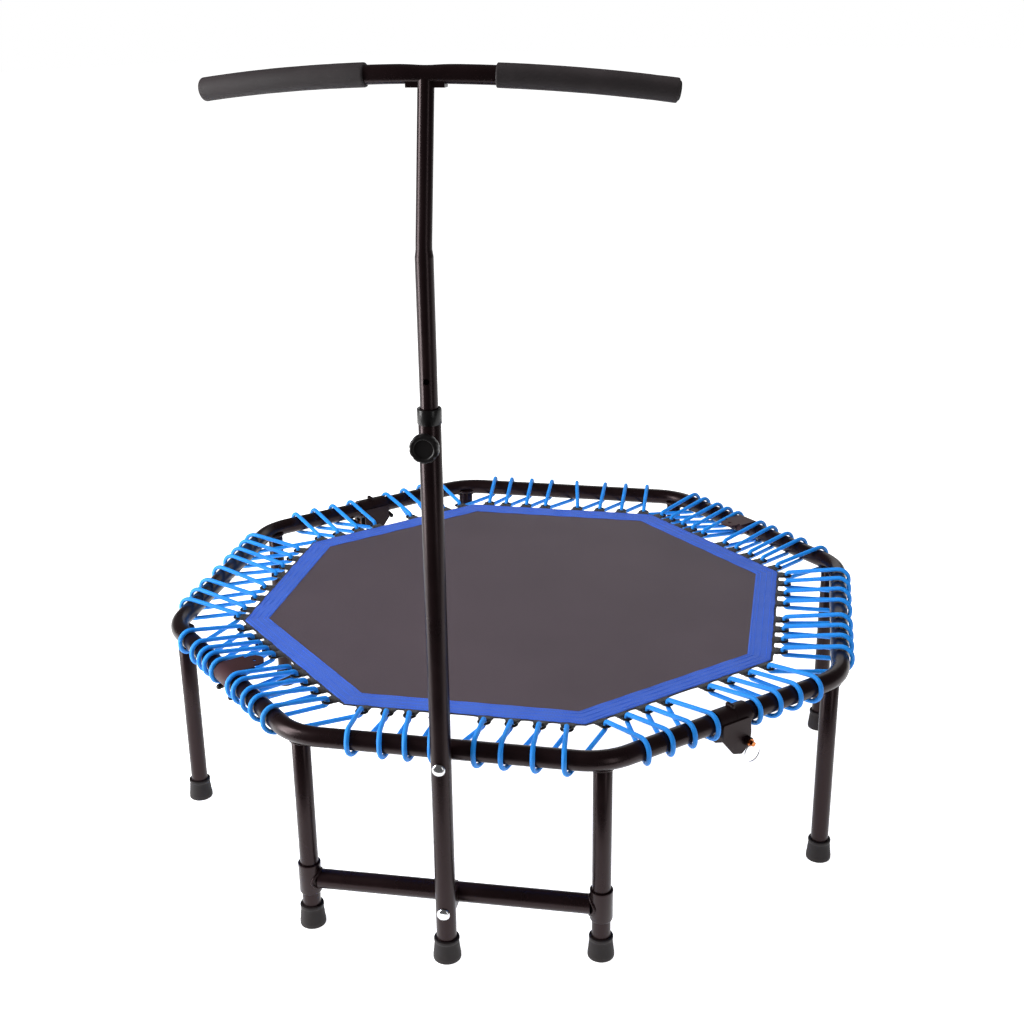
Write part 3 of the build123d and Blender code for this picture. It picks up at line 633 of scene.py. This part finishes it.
class MAKE_OT_legs(bpy.types.Operator):
    """Eight straight legs with the weld that joins each to the ring"""
    bl_idname = "trampoline.legs"
    bl_label = "Legs"

    def execute(self, context):
        for number, spot in enumerate(LEGS):
            centre = leg_centre(spot)
            line = np.array([centre + (0, 0, z) for z in (0.007, 0.1, 0.2, RING_Z - 0.006, RING_Z - 0.004)])
            tube = sweep(line, [LEG, LEG, LEG, LEG, LEG - 0.0015], 40, (1, 0, 0))
            out = math.radians(LEGS[spot] + 22.5)
            ring_point = np.array([math.cos(out), math.sin(out), 0]) * (RING / math.cos(math.radians(22.5)) - 0.0087)
            ring_point += (0, SHIFT_Y, RING_Z)
            angles = np.linspace(0, 2 * np.pi, 90)
            seam = saddle_curve(centre, LEG + 0.0004, (-math.sin(out), math.cos(out)), ring_point, TUBE, angles)
            bead = weld_bead(seam, 0.0024, (0, 0, 1), number)
            body = "frame_front" if spot in FRONT_LEGS else "frame_rear"
            piece(f"leg_tube_{spot}", [tube, bead], frame_coat(), body, [f"leg_{spot}"], sharp=50)
        return {"FINISHED"}


FOOT_PROFILE = ((0, 0), (0.0195, 0), (0.0210, 0.0007), (0.0215, 0.0022), (0.0214, 0.0085), (0.0210, 0.0100),
                (0.0190, 0.0290), (0.0184, 0.0322), (0.0188, 0.0334), (0.0194, 0.0342), (0.0195, 0.0374),
                (0.0190, 0.0386), (0.0178, 0.0390), (0.0152, 0.0388), (0.0150, 0.0360), (0, 0.0360))


class MAKE_OT_feet(bpy.types.Operator):
    """Nine tapered rubber feet with a raised lip"""
    bl_idname = "trampoline.feet"
    bl_label = "Feet"

    def execute(self, context):
        profile = np.array(FOOT_PROFILE)
        for half in HALVES:
            spots = [s for s in LEGS if (s in FRONT_LEGS) == (half == "front")]
            caps = [lathe(profile, leg_centre(s), (0, 0, 1), 48) for s in spots]
            piece(f"rubber_feet_{half}", caps, rubber(), f"frame_{half}", [f"feet_{half}"])
        wide = profile + np.where(profile[:, :1] > 0.001, [[0.001, 0]], [[0, 0]])
        piece("rubber_foot_post", [lathe(wide, (0, POST_Y, 0), (0, 0, 1), 48)], rubber(), "frame_front",
              ["post_foot"])
        return {"FINISHED"}


class MAKE_OT_brace(bpy.types.Operator):
    """Cross tube between the front legs with its two sleeves and welds"""
    bl_idname = "trampoline.brace"
    bl_label = "Brace"

    def execute(self, context):
        left, right = leg_centre("fl", BRACE_LEFT_Z), leg_centre("fr", BRACE_RIGHT_Z)
        inset = np.array([0.0165, 0, 0])
        bar = sweep(np.linspace(left + inset, right - inset, 12), BRACE, 44, (0, 0, 1))
        angles = np.linspace(0, 2 * np.pi, 80)
        root = BRACE + 0.0002
        beads = []
        for k, (centre, sign) in enumerate(((left, 1), (right, -1))):
            across, up = root * np.cos(angles), root * np.sin(angles)
            reach = np.sqrt(np.maximum(SLEEVE ** 2 - across ** 2, 1e-8))
            seam = centre + np.stack([sign * reach, across, up], 1)
            beads.append(weld_bead(seam, 0.0023, (sign, 0.2, 0), 20 + k))
        piece("brace_tube", [bar, *beads], frame_coat(), "frame_front", ["brace_bar"], sharp=50)
        sleeve = [(0.0151, -0.025), (0.0158, -0.025), (0.0176, -0.0236), (SLEEVE, -0.0218), (SLEEVE, 0.0262),
                  (0.0187, 0.0286), (0.0184, 0.0298), (0.0172, 0.0300), (0.0151, 0.0296), (0.0151, -0.025)]
        caps = [lathe(sleeve, centre, (0, 0, 1), 48) for centre in (left, right)]
        piece("brace_collars", caps, frame_coat(), "frame_front", ["brace_sleeves"])
        return {"FINISHED"}


class MAKE_OT_post(bpy.types.Operator):
    """Lower post, its guide collar, knob boss and the two domed bolts"""
    bl_idname = "trampoline.post"
    bl_label = "Post"

    def execute(self, context):
        tube = [(0, 0.007), (0.016, 0.007), (0.016, 0.3), (0.016, 0.6), (0.016, POST_TOP - 0.001),
                (0.0155, POST_TOP), (0, POST_TOP)]
        boss = [(0, 0.012), (0.0122, 0.012), (0.0122, 0.0215), (0.0116, 0.0235), (0.0106, 0.024), (0, 0.024)]
        turn = np.linspace(0, 2 * np.pi, 70)
        root = np.stack([0.0126 * np.cos(turn), np.zeros(70), 0.0126 * np.sin(turn)], 1)
        root[:, 1] = -np.sqrt(np.maximum(TUBE ** 2 - root[:, 0] ** 2, 0))
        bead = weld_bead(root + (0, POST_Y, KNOB_Z), 0.0014, (0, -1, 0), 31)
        piece("post_tube", [lathe(tube, (0, POST_Y, 0), (0, 0, 1), 56),
                            lathe(boss, (0, POST_Y, KNOB_Z), (0, -1, 0), 40), bead],
              frame_coat(), "frame_front", ["lower_post"])
        collar = np.array([(0.0128, -0.030), (0.0144, -0.030), (0.0144, -0.0182), (0.0168, -0.0182),
                           (0.0173, -0.0175), (0.0173, 0.0018), (0.0170, 0.0033), (0.0158, 0.0040),
                           (0.0136, 0.0036), (0.0128, 0.0024), (0.0128, -0.030)]) + (0, POST_TOP)
        piece("post_guide_collar", [lathe(collar, (0, POST_Y, 0), (0, 0, 1), 56)], black_plastic(),
              "frame_front", ["post_collar"])
        bolts = []
        for z, end, nut in ((BOLT_HIGH_Z, SHIFT_Y - 0.590, False), (BOLT_LOW_Z, SHIFT_Y - 0.5534, True)):
            face = POST_Y - TUBE
            dome_a = np.linspace(0, np.pi / 2, 14)
            dome = [(0.0103 * math.sin(a), 0.0006 + 0.0048 * math.cos(a)) for a in dome_a]
            head = [*dome, (0.0103, 0.0), (0.004, 0.0), (0.004, face - end), (0, face - end)]
            bolts.append(lathe(head, (0, face, z), (0, -1, 0), 48))
            if nut:
                hexagon = [(0, 0.0002), (0.0066, 0.0002), (0.0074, 0.001), (0.0074, 0.0056), (0.0066, 0.0064),
                           (0, 0.0064)]
                bolts.append(lathe(hexagon, (0, end - 0.009, z), (0, 1, 0), 6))
        piece("dome_bolts", bolts, chrome(), "frame_front", ["post_bolts"], sharp=30)
        return {"FINISHED"}


def bar_line(u0=0.0, u1=1.0, count=120):
    """Handlebar centreline: the circle through both ends and the middle, tilted back and down."""
    middle = np.array([0, SHIFT_Y - 0.586, 1.346])
    drop = np.array([0, 0.040, -0.023])
    depth = np.linalg.norm(drop)
    radius = (BAR_HALF ** 2 + depth ** 2) / (2 * depth)
    reach = math.asin(BAR_HALF / radius)
    turn = np.linspace(-reach, reach, 2001)
    turn = np.interp(np.linspace(u0, u1, count), np.linspace(0, 1, 2001), turn)
    return middle + np.stack([radius * np.sin(turn), 0 * turn, 0 * turn], 1) \
        + (radius - radius * np.cos(turn))[:, None] * (drop / depth)


class MAKE_OT_handle(bpy.types.Operator):
    """Bent handlebar tube and its end plugs"""
    bl_idname = "trampoline.handle"
    bl_label = "Handlebar"

    def execute(self, context):
        line = bar_line()
        flat = np.exp(-(line[:, 0] / 0.022) ** 2)
        line[:, 2] -= 0.0007 * flat
        flat = np.concatenate([flat[:1], flat, flat[-1:]])
        bar = sweep(line, BAR, 48, (0, 0, 1), squash=(1 - 0.07 * flat, 1 + 0.02 * flat))
        piece("handle_bar", [bar], frame_coat(), "handle", ["handlebar"])
        plugs = []
        for u, sign in ((0.0, -1), (1.0, 1)):
            ends = bar_line(count=400)
            tip = ends[0] if sign < 0 else ends[-1]
            axis = unit((ends[0] - ends[1]) if sign < 0 else (ends[-1] - ends[-2]))
            profile = [(0, -0.012), (0.011, -0.012), (0.011, 0), (0.0126, 0), (0.0126, 0.0016), (0.0118, 0.0024),
                       (0, 0.0025)]
            plugs.append(lathe(profile, tip, axis, 40, (0, 0, 1)))
        piece("bar_end_plugs", plugs, black_plastic(), "handle", ["bar_plugs"])
        return {"FINISHED"}


class MAKE_OT_grips(bpy.types.Operator):
    """Two foam sleeves with softly rounded ends"""
    bl_idname = "trampoline.grips"
    bl_label = "Foam grips"

    def execute(self, context):
        left_end = 0.5 * (1 - GRIP_START_LEFT / BAR_HALF)
        right_end = 0.5 * (1 + GRIP_START_RIGHT / BAR_HALF)
        for name, u0, u1 in (("left", 0.0, left_end), ("right", right_end, 1.0)):
            x = 0.5 - 0.5 * np.cos(np.linspace(0, np.pi, 140))
            line = np.stack([np.interp(x, np.linspace(0, 1, 400), c) for c in bar_line(u0, u1, 400).T], 1)
            edge = np.minimum(x, 1 - x) * (u1 - u0) * BAR_LENGTH
            outer = sizes().grip_radius - 0.0014 * np.exp(-edge / 0.0005)
            rng = np.random.default_rng(5 if name == "left" else 6)
            outer = outer - 0.00025 * np.abs(np.convolve(rng.standard_normal(140), np.ones(11) / 11, "same"))
            line = np.concatenate([line[:1], line, line[-1:]])
            radius = np.concatenate([[BAR], outer, [BAR]])
            patch = sweep_open(line, radius, 48)
            piece(f"foam_grip_{name}", [patch], foam(), "handle", [f"grip_{name}"])
        return {"FINISHED"}


def sweep_open(line, radius, sides):
    """Sleeve: an outer skin carried along the line and an inner skin on the bar, joined at both ends."""
    outer = sweep(line, radius, sides, (0, 0, 1), caps=False)[0]
    inner = sweep(line[1:-1], BAR, sides, (0, 0, 1), caps=False)[0]
    grid = np.concatenate([outer, inner[::-1]])
    return grid, True, True, None


class MAKE_OT_knob(bpy.types.Operator):
    """Round pull knob with finger scallops and a dished face"""
    bl_idname = "trampoline.knob"
    bl_label = "Height knob"

    def execute(self, context):
        centre = np.array([0, POST_Y, KNOB_Z])
        profile = np.array([(0, 0.0258), (0.012, 0.0256), (0.0185, 0.0262), (0.0205, 0.0280), (0.021, 0.0300),
                            (0.021, 0.0355), (0.0203, 0.0380), (0.0182, 0.0394), (0.0150, 0.0393),
                            (0.0138, 0.0384), (0.0132, 0.0372), (0, 0.0368)])
        turn = np.linspace(0, 2 * np.pi, 121)[:-1]
        lobes = 1 - 0.045 * np.clip(np.cos(10 * turn) - 0.2, 0, 1)
        lift = np.clip((profile[:, 0] - 0.0175) / 0.0025, 0, 1)
        radius = profile[:, :1] * (1 + lift[:, None] * (lobes[None] - 1))
        grid = centre + np.stack([radius * np.cos(turn), -np.repeat(profile[:, 1:], 120, 1),
                                  radius * np.sin(turn)], -1)
        piece("pull_knob", [(grid, False, True, None)], black_plastic(), "height_knob", ["knob"])
        return {"FINISHED"}


def octagon_radius(turn, apothem):
    """Distance from the centre to the octagon's edge: apothem over the cosine of the angle to the nearest flat."""
    off = (turn + np.pi / 8) % (np.pi / 4) - np.pi / 8
    return apothem / np.cos(off)


class MAKE_OT_mat(bpy.types.Operator):
    """Woven octagonal mat, stretched flat"""
    bl_idname = "trampoline.mat"
    bl_label = "Mat"

    def execute(self, context):
        turn = np.radians(22.5) + np.linspace(0, 2 * np.pi, 8 * 20 + 1)[:-1]
        share = np.linspace(0, 1, 44)
        edge = octagon_radius(turn, MAT_EDGE + HEM)
        radius = share[:, None] * edge[None]
        half = sizes().mat_thickness / 2
        dip = 0.0006 * (1 - share[:, None] ** 2)
        flat = np.stack([radius * np.cos(turn), radius * np.sin(turn) + SHIFT_Y, 0 * radius], -1)
        top, bottom = flat.copy(), flat[::-1].copy()
        top[..., 2] = MAT_Z + half - dip
        bottom[..., 2] = MAT_Z - half - dip[::-1]
        # the last colour gain, 1.35, is the painted highlight on the mat's thread crowns
        material = woven("Woven mat", colours().mat, 620.0, 620.0, "Object", 0.6, 0.35, 0.03, 1.35, alpha=0.8)
        mat = piece("woven_mat", [(np.concatenate([top, bottom]), False, True, None)], material, None,
                    ["mat_front", "mat_rear"])
        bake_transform(mat)
        return {"FINISHED"}


def border_scallop(s, side_angle):
    """How far the outer edge draws in: nothing at a tab, most half way between two tabs."""
    places = {round(a) % 360: [] for a in range(-135, 225, 45)}
    for quarter in QUARTERS:
        for a, tab, _ in stops_of(quarter):
            places[round(a) % 360].append(tab)
    tabs = np.array(sorted(places[round(side_angle) % 360]))
    near = np.abs(s[:, None] - tabs[None]).min(1)
    return sizes().scallop * (1 - np.exp(-(near / 0.014) ** 2))


BORDER_SECTION = np.array([(0.0, 0.0010), (0.0008, 0.0014), (0.004, 0.0015), (0.012, 0.00145), (0.020, 0.0015),
                           (0.030, 0.00145), (0.037, 0.0015), (0.0408, 0.0013), (0.042, 0.0006), (0.0421, 0.0),
                           (0.042, -0.0006), (0.0408, -0.0013), (0.030, -0.0015), (0.012, -0.0015),
                           (0.0008, -0.0014), (0.0, -0.0010), (0.004, -0.0002), (0.004, 0.0002)])


class MAKE_OT_border(bpy.types.Operator):
    """Blue webbing border with mitred corners and rows of stitches"""
    bl_idname = "trampoline.border"
    bl_label = "Border"

    def execute(self, context):
        middle = np.array([0, SHIFT_Y, MAT_Z])
        start, end = middle - 0.07 * FOLD_DIR, middle + 0.07 * FOLD_DIR
        rings, uvs = [], []
        share = np.linspace(-1, 1, 61)[:-1]
        for k in range(8):
            angle = -135 + 45 * k
            s_edge = share * BORDER_EDGE * TAN
            pull = border_scallop(s_edge, angle)
            n = MAT_EDGE + BORDER_SECTION[:, 0][:, None] \
                - pull[None] * (BORDER_SECTION[:, 0][:, None] / BORDER_WIDTH) ** 3
            s = share[None] * n * TAN
            wave = 0.0003 * np.sin(s * 95 + k)
            rings.append(on_side(angle, s, n, MAT_Z + BORDER_SECTION[:, 1][:, None] + wave))
            uvs.append(np.stack([s + 10 * k, n], -1))
        grid, uv = np.concatenate(rings, 1), np.concatenate(uvs, 1)
        uv = np.concatenate([uv, uv[:1]], 0)
        uv = np.concatenate([uv, uv[:, :1]], 1)
        # the last colour gain, 1.25, is the painted highlight on the border's thread crowns
        blue = woven("Border webbing", colours().border, 420.0, 900.0, "UV", 0.6, 0.6, 0.06, 1.25)
        border = piece("webbing_border", [(grid, True, True, uv)], blue, None,
                       ["border_front", "border_rear"], sharp=60)
        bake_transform(border)
        self.stitches(start, end)
        return {"FINISHED"}

    def stitches(self, start, end):
        """Each stitch is a thread that rises from and dips back into the webbing: a half sine arch."""
        sites = []
        for k in range(8):
            angle = -135 + 45 * k
            for n in (0.4395, 0.4465, 0.4580, 0.4690, 0.4760):
                count = int(2 * n * TAN / sizes().stitch)
                s = (np.arange(count) + 0.5) / count * 2 * n * TAN - n * TAN
                sites.append(np.stack([np.full(count, angle), s, np.full(count, n)], 1))
        sites = np.concatenate(sites)
        reach = np.linspace(-0.5, 0.5, 6) * sizes().stitch * 0.8
        rise = 0.00135 + 0.0005 * np.cos(reach / sizes().stitch / 0.8 * np.pi)
        turn = np.linspace(0, 2 * np.pi, 6)[:-1]
        around = np.stack([np.cos(turn), np.sin(turn)], 1) * 0.00038
        s = sites[:, 1][:, None, None] + reach[None, :, None] + 0 * turn
        n = sites[:, 2][:, None, None] + around[:, 0] + 0 * s
        z = MAT_Z + rise[None, :, None] + around[:, 1] + 0 * s
        grids = on_side(sites[:, 0][:, None, None], s, n, z)
        thread = moulded("Blue thread", (0.03, 0.12, 0.62), 0.55, 900.0, 0.2)
        patches = [(grid, False, True, None) for grid in grids]
        stitches = piece("border_stitches", patches, thread, None, (), merge=1e-7)
        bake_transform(stitches)


def edge_strip(half):
    """Thin black edge that looks out from under the border: from 4 mm inside its rim to 6 mm outside,
    drawn in between two tabs. Runs over half of the octagon, from fold line to fold line."""
    start = 135 if half == "front" else -45
    section = np.array([(-0.004, 0.0006), (0.005, 0.0007), (0.006, 0.0), (0.005, -0.0007), (-0.004, -0.0006)])
    grids, uvs = [], []
    for k, (low, high) in enumerate(((0.002, 1), (-1, 1), (-1, 1), (-1, 1), (-1, -0.002))):
        share = np.linspace(low, high, 61)[:61 if k == 4 else 60]
        pull = 2.5 * border_scallop(share * BORDER_EDGE * TAN, start + 45 * k)
        n = BORDER_EDGE + section[:, :1] - pull[None] * (section[:, :1] > 0)
        s = share[None] * n * TAN
        grids.append(on_side(start + 45 * k, s, n, MAT_Z + section[:, 1:] + 0 * s))
        uvs.append(np.stack([s + 10 * k, n], -1))
    grid, uv = np.concatenate(grids, 1), np.concatenate(uvs, 1)
    ends = [np.broadcast_to(grid[:, c].mean(0), (5, 1, 3)) for c in (0, -1)]
    grid = np.concatenate([ends[0], grid, ends[1]], 1)
    uv = np.concatenate([uv[:, :1], uv, uv[:, -1:]], 1)
    return grid, True, False, np.concatenate([uv, uv[:1]], 0)


def at_sites(template, angles, s, n, z):
    """Copies a small grid, given as (along the side, outward, up), to every site."""
    a = angles[:, None, None]
    return on_side(a, s[:, None, None] + template[..., 0], n + template[..., 1], z + template[..., 2])


class MAKE_OT_tabs(bpy.types.Operator):
    """Webbing tabs folded round small rings, along the whole border"""
    bl_idname = "trampoline.tabs"
    bl_label = "Tabs and rings"

    def execute(self, context):
        reach = np.array([0.466, 0.474, 0.481, 0.4865, 0.4895, 0.4915, 0.4925, 0.4935])
        half_width = np.array([0.0130, 0.0132, 0.0132, 0.0118, 0.0106, 0.0096, 0.0088, 0.0084])
        half_thick = np.array([0.0008, 0.0010, 0.0012, 0.0026, 0.0030, 0.0027, 0.0019, 0.0006])
        turn = np.linspace(0, 2 * np.pi, 21)
        across = np.sign(np.cos(turn)) * np.abs(np.cos(turn)) ** 0.45
        upward = np.sign(np.sin(turn)) * np.abs(np.sin(turn)) ** 0.7
        template = np.stack([half_width[:, None] * across[:-1], reach[:, None] + 0 * across[:-1],
                             half_thick[:, None] * upward[:-1]], -1)
        ends = template[[0, -1]].copy()
        ends[..., 0] *= 0
        ends[..., 2] *= 0
        template = np.concatenate([ends[:1], template, ends[1:]])
        along = np.concatenate([reach[:1], reach, reach[-1:]])
        uv = np.stack(np.meshgrid(along, across * 0.0125, indexing="ij"), -1)
        tube = np.linspace(0, 2 * np.pi, 11)[:-1]
        loop = np.linspace(0, 2 * np.pi, 27)[:-1]
        radial = 0.0085 + 0.0028 * np.cos(tube)
        ring = np.stack([radial * np.sin(loop)[:, None], radial * np.cos(loop)[:, None],
                         np.broadcast_to(0.0021 * np.sin(tube), (26, 10))], -1)
        for half, quarters in HALVES.items():
            stops = np.concatenate([stops_of(q) for q in quarters])
            tabs = at_sites(template, stops[:, 0], stops[:, 1], 0.0, MAT_Z)
            straps = [(grid, False, True, uv) for grid in tabs]
            piece(f"web_tabs_{half}", [edge_strip(half), *straps], black_web(), f"frame_{half}",
                  [f"tabs_{half}"], sharp=60)
            rings = at_sites(ring, stops[:, 0], stops[:, 1], TURN_AT - 0.008, MAT_Z)
            piece(f"cord_rings_{half}", [(grid, True, True, None) for grid in rings], black_plastic(),
                  f"frame_{half}", [f"tab_rings_{half}"])
        return {"FINISHED"}


WRAP, WRAP_BEND, TURN = 0.0209, 0.0196, 0.0065


def wrap_corner(n, z):
    """Height of the upper wrap corner for a run that starts inside the ring at (n, z) from the tube."""
    slope = math.atan2(-z, -n) + math.asin(WRAP / math.hypot(n, z))
    return z + math.tan(slope) * (WRAP - n)


def cord_route(quarter):
    """Corner points of one quarter's cord, the bend radius at each and the reference direction."""
    stops = stops_of(quarter)
    inner, low, high = TURN_AT - TURN, MAT_Z - TURN, MAT_Z + TURN
    up = wrap_corner(inner - RING, high - RING_Z)
    down = -wrap_corner(inner - RING, RING_Z - low)
    angle, tab, wrap = stops.T
    loops = np.stack([on_side(angle, tab, inner, low), on_side(angle, tab, inner, high),
                      on_side(angle, wrap, RING + WRAP, RING_Z + up),
                      on_side(angle, wrap, RING + WRAP, RING_Z + down)], 1)
    first = on_side(angle[0], wrap[0] - CORD_PITCH * QUARTERS[quarter][2], RING, RING_Z - WRAP - 0.0006)
    last = on_side(angle[-1], wrap[-1], RING - 0.004, RING_Z - WRAP - 0.0006)
    corners = np.concatenate([first[None], loops.reshape(-1, 3), last[None]])
    radii = np.tile([TURN - 0.0004, TURN - 0.0004, WRAP_BEND, WRAP_BEND], len(stops))
    return corners, radii, angle


class MAKE_OT_cords(bpy.types.Operator):
    """Blue elastic cord laced between the rings and the tube, one length for each quarter"""
    bl_idname = "trampoline.cords"
    bl_label = "Elastic cords"

    def execute(self, context):
        material = braided("Blue cord", colours().cord)
        for half, quarters in HALVES.items():
            for quarter in quarters:
                corners, radii, angle = cord_route(quarter)
                samples = 8
                route = rounded_route(corners, radii, samples)
                turns = np.radians(np.repeat(angle, 4 * samples))
                turns = np.concatenate([turns[:1], turns, turns[-1:]])
                reference = np.stack([-np.sin(turns), np.cos(turns), 0 * turns], 1)
                patch = sweep(route, CORD, sizes().cord_sides, reference)
                piece(f"blue_cord_{quarter}", [patch], material, f"frame_{half}",
                      [f"cord_{quarter}"], sharp=80)
        return {"FINISHED"}


JOINT_FRAMES = {"fr": -45, "bl": 135}

# name, place, aim, width, height, radiance, seen in gloss
SOFTBOXES = (("Left softbox", (-2.3, -1.25, 1.25), (0, 0, 1.0), 0.9, 2.4, 16.0, True),
             ("Right softbox", (1.95, -2.3, 1.0), (0, 0, 0.9), 0.5, 1.9, 3.2, True),
             ("Top fill", (0.0, -0.3, 3.6), (0, 0, 0), 3.2, 3.2, 2.6, False),
             ("Back softbox", (0.3, 3.2, 1.7), (0, 0, 0.5), 2.6, 1.2, 1.2, True))


class MAKE_OT_joints(bpy.types.Operator):
    """Finishes of the hinge and splice hardware, and the split rings of the pull pins"""
    bl_idname = "trampoline.joints"
    bl_label = "Joint hardware"

    def execute(self, context):
        coat = powder_coat("Hinge coat", 0.42, 0.9)
        worn = powder_coat("Saddle coat", 0.45, 5.0)
        copper = plated("Copper plating", (0.62, 0.22, 0.07), 0.22)
        finishes = {"hinge_housing_fr": coat, "hinge_housing_bl": coat, "hinge_leaf_fr": coat, "hinge_leaf_bl": coat,
                    "splice_plate_fl": worn, "splice_plate_br": worn, "splice_screws_fl": coat,
                    "splice_screws_br": coat, "hinge_pivot_fr": coat, "hinge_pivot_bl": coat,
                    "lock_pin_fr": copper, "lock_pin_bl": copper, "cord_ends_front": black_plastic(),
                    "cord_ends_rear": black_plastic(), "upper_stem": frame_coat(), "bar_saddle": frame_coat(),
                    "post_brackets": frame_coat(), "knob_pin": plated("Turned steel", (0.5, 0.5, 0.51), 0.25)}
        for node, material in finishes.items():
            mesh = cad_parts[node].data
            mesh.materials.clear()
            mesh.materials.append(material)
        for name, angle in JOINT_FRAMES.items():
            low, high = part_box(f"lock_ring_{name}")
            centre = np.array((low + high) / 2)
            turn = np.linspace(0, 4 * np.pi, 160)
            a = math.radians(angle)
            along = np.array([-math.sin(a), math.cos(a), 0])
            out = np.array([math.cos(a), math.sin(a), 0])
            shift = 0.00055 * np.tanh((turn - 2 * np.pi) * 2.5)
            path = centre + SPLIT_RING * (np.sin(turn)[:, None] * along + np.cos(turn)[:, None] * np.array([0, 0, 1])) \
                + shift[:, None] * out
            side = "front" if name == "fr" else "back"
            piece(f"split_ring_{name}", [sweep(path, 0.0005, 10, out)], chrome(), f"lock_ring_{side}",
                  [f"lock_ring_{name}"], sharp=80)
        return {"FINISHED"}


class MAKE_OT_stage(bpy.types.Operator):
    """Pale floor, soft lights and the camera"""
    bl_idname = "trampoline.stage"
    bl_label = "Studio"

    def execute(self, context):
        scene = context.scene
        scene.view_settings.view_transform = "Standard"
        turn = np.linspace(0, 2 * np.pi, 97)[:-1]
        reach = np.array([0.0, 2.0, 4.0, 8.0, 12.0, 15.0])[:, None]
        floor_grid = np.stack([reach * np.cos(turn), reach * np.sin(turn) + 13.95, 0 * reach * turn - 0.0004], -1)
        floor = piece("studio_floor", [(floor_grid, False, True, None)], self.floor_material())
        self.surround(scene)
        for name, place, target, width, height, radiance, gloss in SOFTBOXES:
            self.lamp(name, place, target, width, height, radiance, gloss)
        self.camera(scene)
        return {"FINISHED"}

    def floor_material(self):
        """Pale floor that glows a little, like a lit table, so shadows stay soft."""
        material, tree, shader = start_material("Studio floor")
        cloud = noise(tree, coordinates(tree, "Object"), 1.5)
        tone = mix(tree, cloud, colour4(colours().floor), colour4(colours().floor, 1.03))
        tree.links.new(tone, shader.inputs["Base Color"])
        tree.links.new(tone, shader.inputs["Emission Color"])
        shader.inputs["Emission Strength"].default_value = 1.13
        shader.inputs["Roughness"].default_value = 0.8
        shader.inputs["Specular IOR Level"].default_value = 0.0
        return material

    def surround(self, scene):
        """White backdrop to the eye and a dim room to the gloss."""
        world = bpy.data.worlds.new("Soft studio")
        world.use_nodes = True
        tree = world.node_tree
        seen = tree.nodes.new("ShaderNodeLightPath")
        glow = remap(tree, seen.outputs["Is Camera Ray"], 0.0, 1.0, 0.12, 1.0)
        tree.nodes["Background"].inputs["Color"].default_value = (1.0, 1.0, 1.0, 1)
        tree.links.new(glow, tree.nodes["Background"].inputs["Strength"])
        scene.world = world

    def lamp(self, name, place, target, width, height, radiance, gloss):
        """Rectangular softbox: its power is pi times its area times its radiance."""
        light = bpy.data.lights.new(name, "AREA")
        light.shape = "RECTANGLE"
        light.size, light.size_y = width, height
        light.energy = math.pi * width * height * radiance
        obj = bpy.data.objects.new(name, light)
        obj.visible_camera = False
        obj.visible_glossy = gloss
        back = unit(np.array(place, float) - np.array(target, float))
        right = unit(np.cross((0, 0, 1) if abs(back[2]) < 0.99 else (0, 1, 0), back))
        obj.matrix_world = Matrix(np.block([[np.stack([right, np.cross(back, right), back], 1),
                                             np.array(place, float)[:, None]], [np.zeros((1, 3)), 1]]).tolist())
        bpy.context.scene.collection.objects.link(obj)

    def camera(self, scene):
        azimuth, elevation, roll = math.radians(11.52), math.radians(20.39), math.radians(-0.74)
        back = np.array([math.sin(azimuth) * math.cos(elevation), -math.cos(azimuth) * math.cos(elevation),
                         math.sin(elevation)])
        right = np.array([math.cos(azimuth), math.sin(azimuth), 0])
        up = np.cross(back, right)
        turned_right = math.cos(roll) * right + math.sin(roll) * up
        turned_up = -math.sin(roll) * right + math.cos(roll) * up
        place = np.array([0.4912, -2.4757 + SHIFT_Y, 1.4640])
        lens = bpy.data.cameras.new("View")
        lens.lens = 50.747
        lens.sensor_width = 36
        lens.clip_end = 100
        obj = bpy.data.objects.new("View", lens)
        turn = np.stack([turned_right, turned_up, back], 1)
        obj.matrix_world = Matrix(np.block([[turn, place[:, None]], [np.zeros((1, 3)), 1]]).tolist())
        scene.collection.objects.link(obj)
        scene.camera = obj


OPERATORS = (MAKE_OT_stage, MAKE_OT_ring, MAKE_OT_legs, MAKE_OT_feet, MAKE_OT_brace, MAKE_OT_post, MAKE_OT_handle,
             MAKE_OT_grips, MAKE_OT_knob, MAKE_OT_border, MAKE_OT_mat, MAKE_OT_tabs, MAKE_OT_cords, MAKE_OT_joints)


class TRAMPOLINE_PT_sidebar(bpy.types.Panel):
    """Lists the trampoline's settings and its makers"""
    bl_idname = "TRAMPOLINE_PT_sidebar"
    bl_label = "Trampoline"
    bl_space_type = "VIEW_3D"
    bl_region_type = "UI"
    bl_category = "Trampoline"

    def draw(self, context):
        for group in (context.scene.trampoline_colours, context.scene.trampoline_sizes):
            for label in group.bl_rna.properties.keys():
                if label not in {"rna_type", "name"}:
                    self.layout.prop(group, label)
        for operator in OPERATORS:
            self.layout.operator(operator.bl_idname)


CLASSES = (TrampolineColours, TrampolineSizes, *OPERATORS, TRAMPOLINE_PT_sidebar)


def register():
    for item in CLASSES:
        bpy.utils.register_class(item)
    bpy.types.Scene.trampoline_colours = PointerProperty(type=TrampolineColours)
    bpy.types.Scene.trampoline_sizes = PointerProperty(type=TrampolineSizes)


def unregister():
    del bpy.types.Scene.trampoline_sizes
    del bpy.types.Scene.trampoline_colours
    for item in reversed(CLASSES):
        bpy.utils.unregister_class(item)


def main():
    register()
    for operator in OPERATORS:
        getattr(bpy.ops.trampoline, operator.bl_idname.split(".")[1])()


if __name__ == "__main__":
    main()
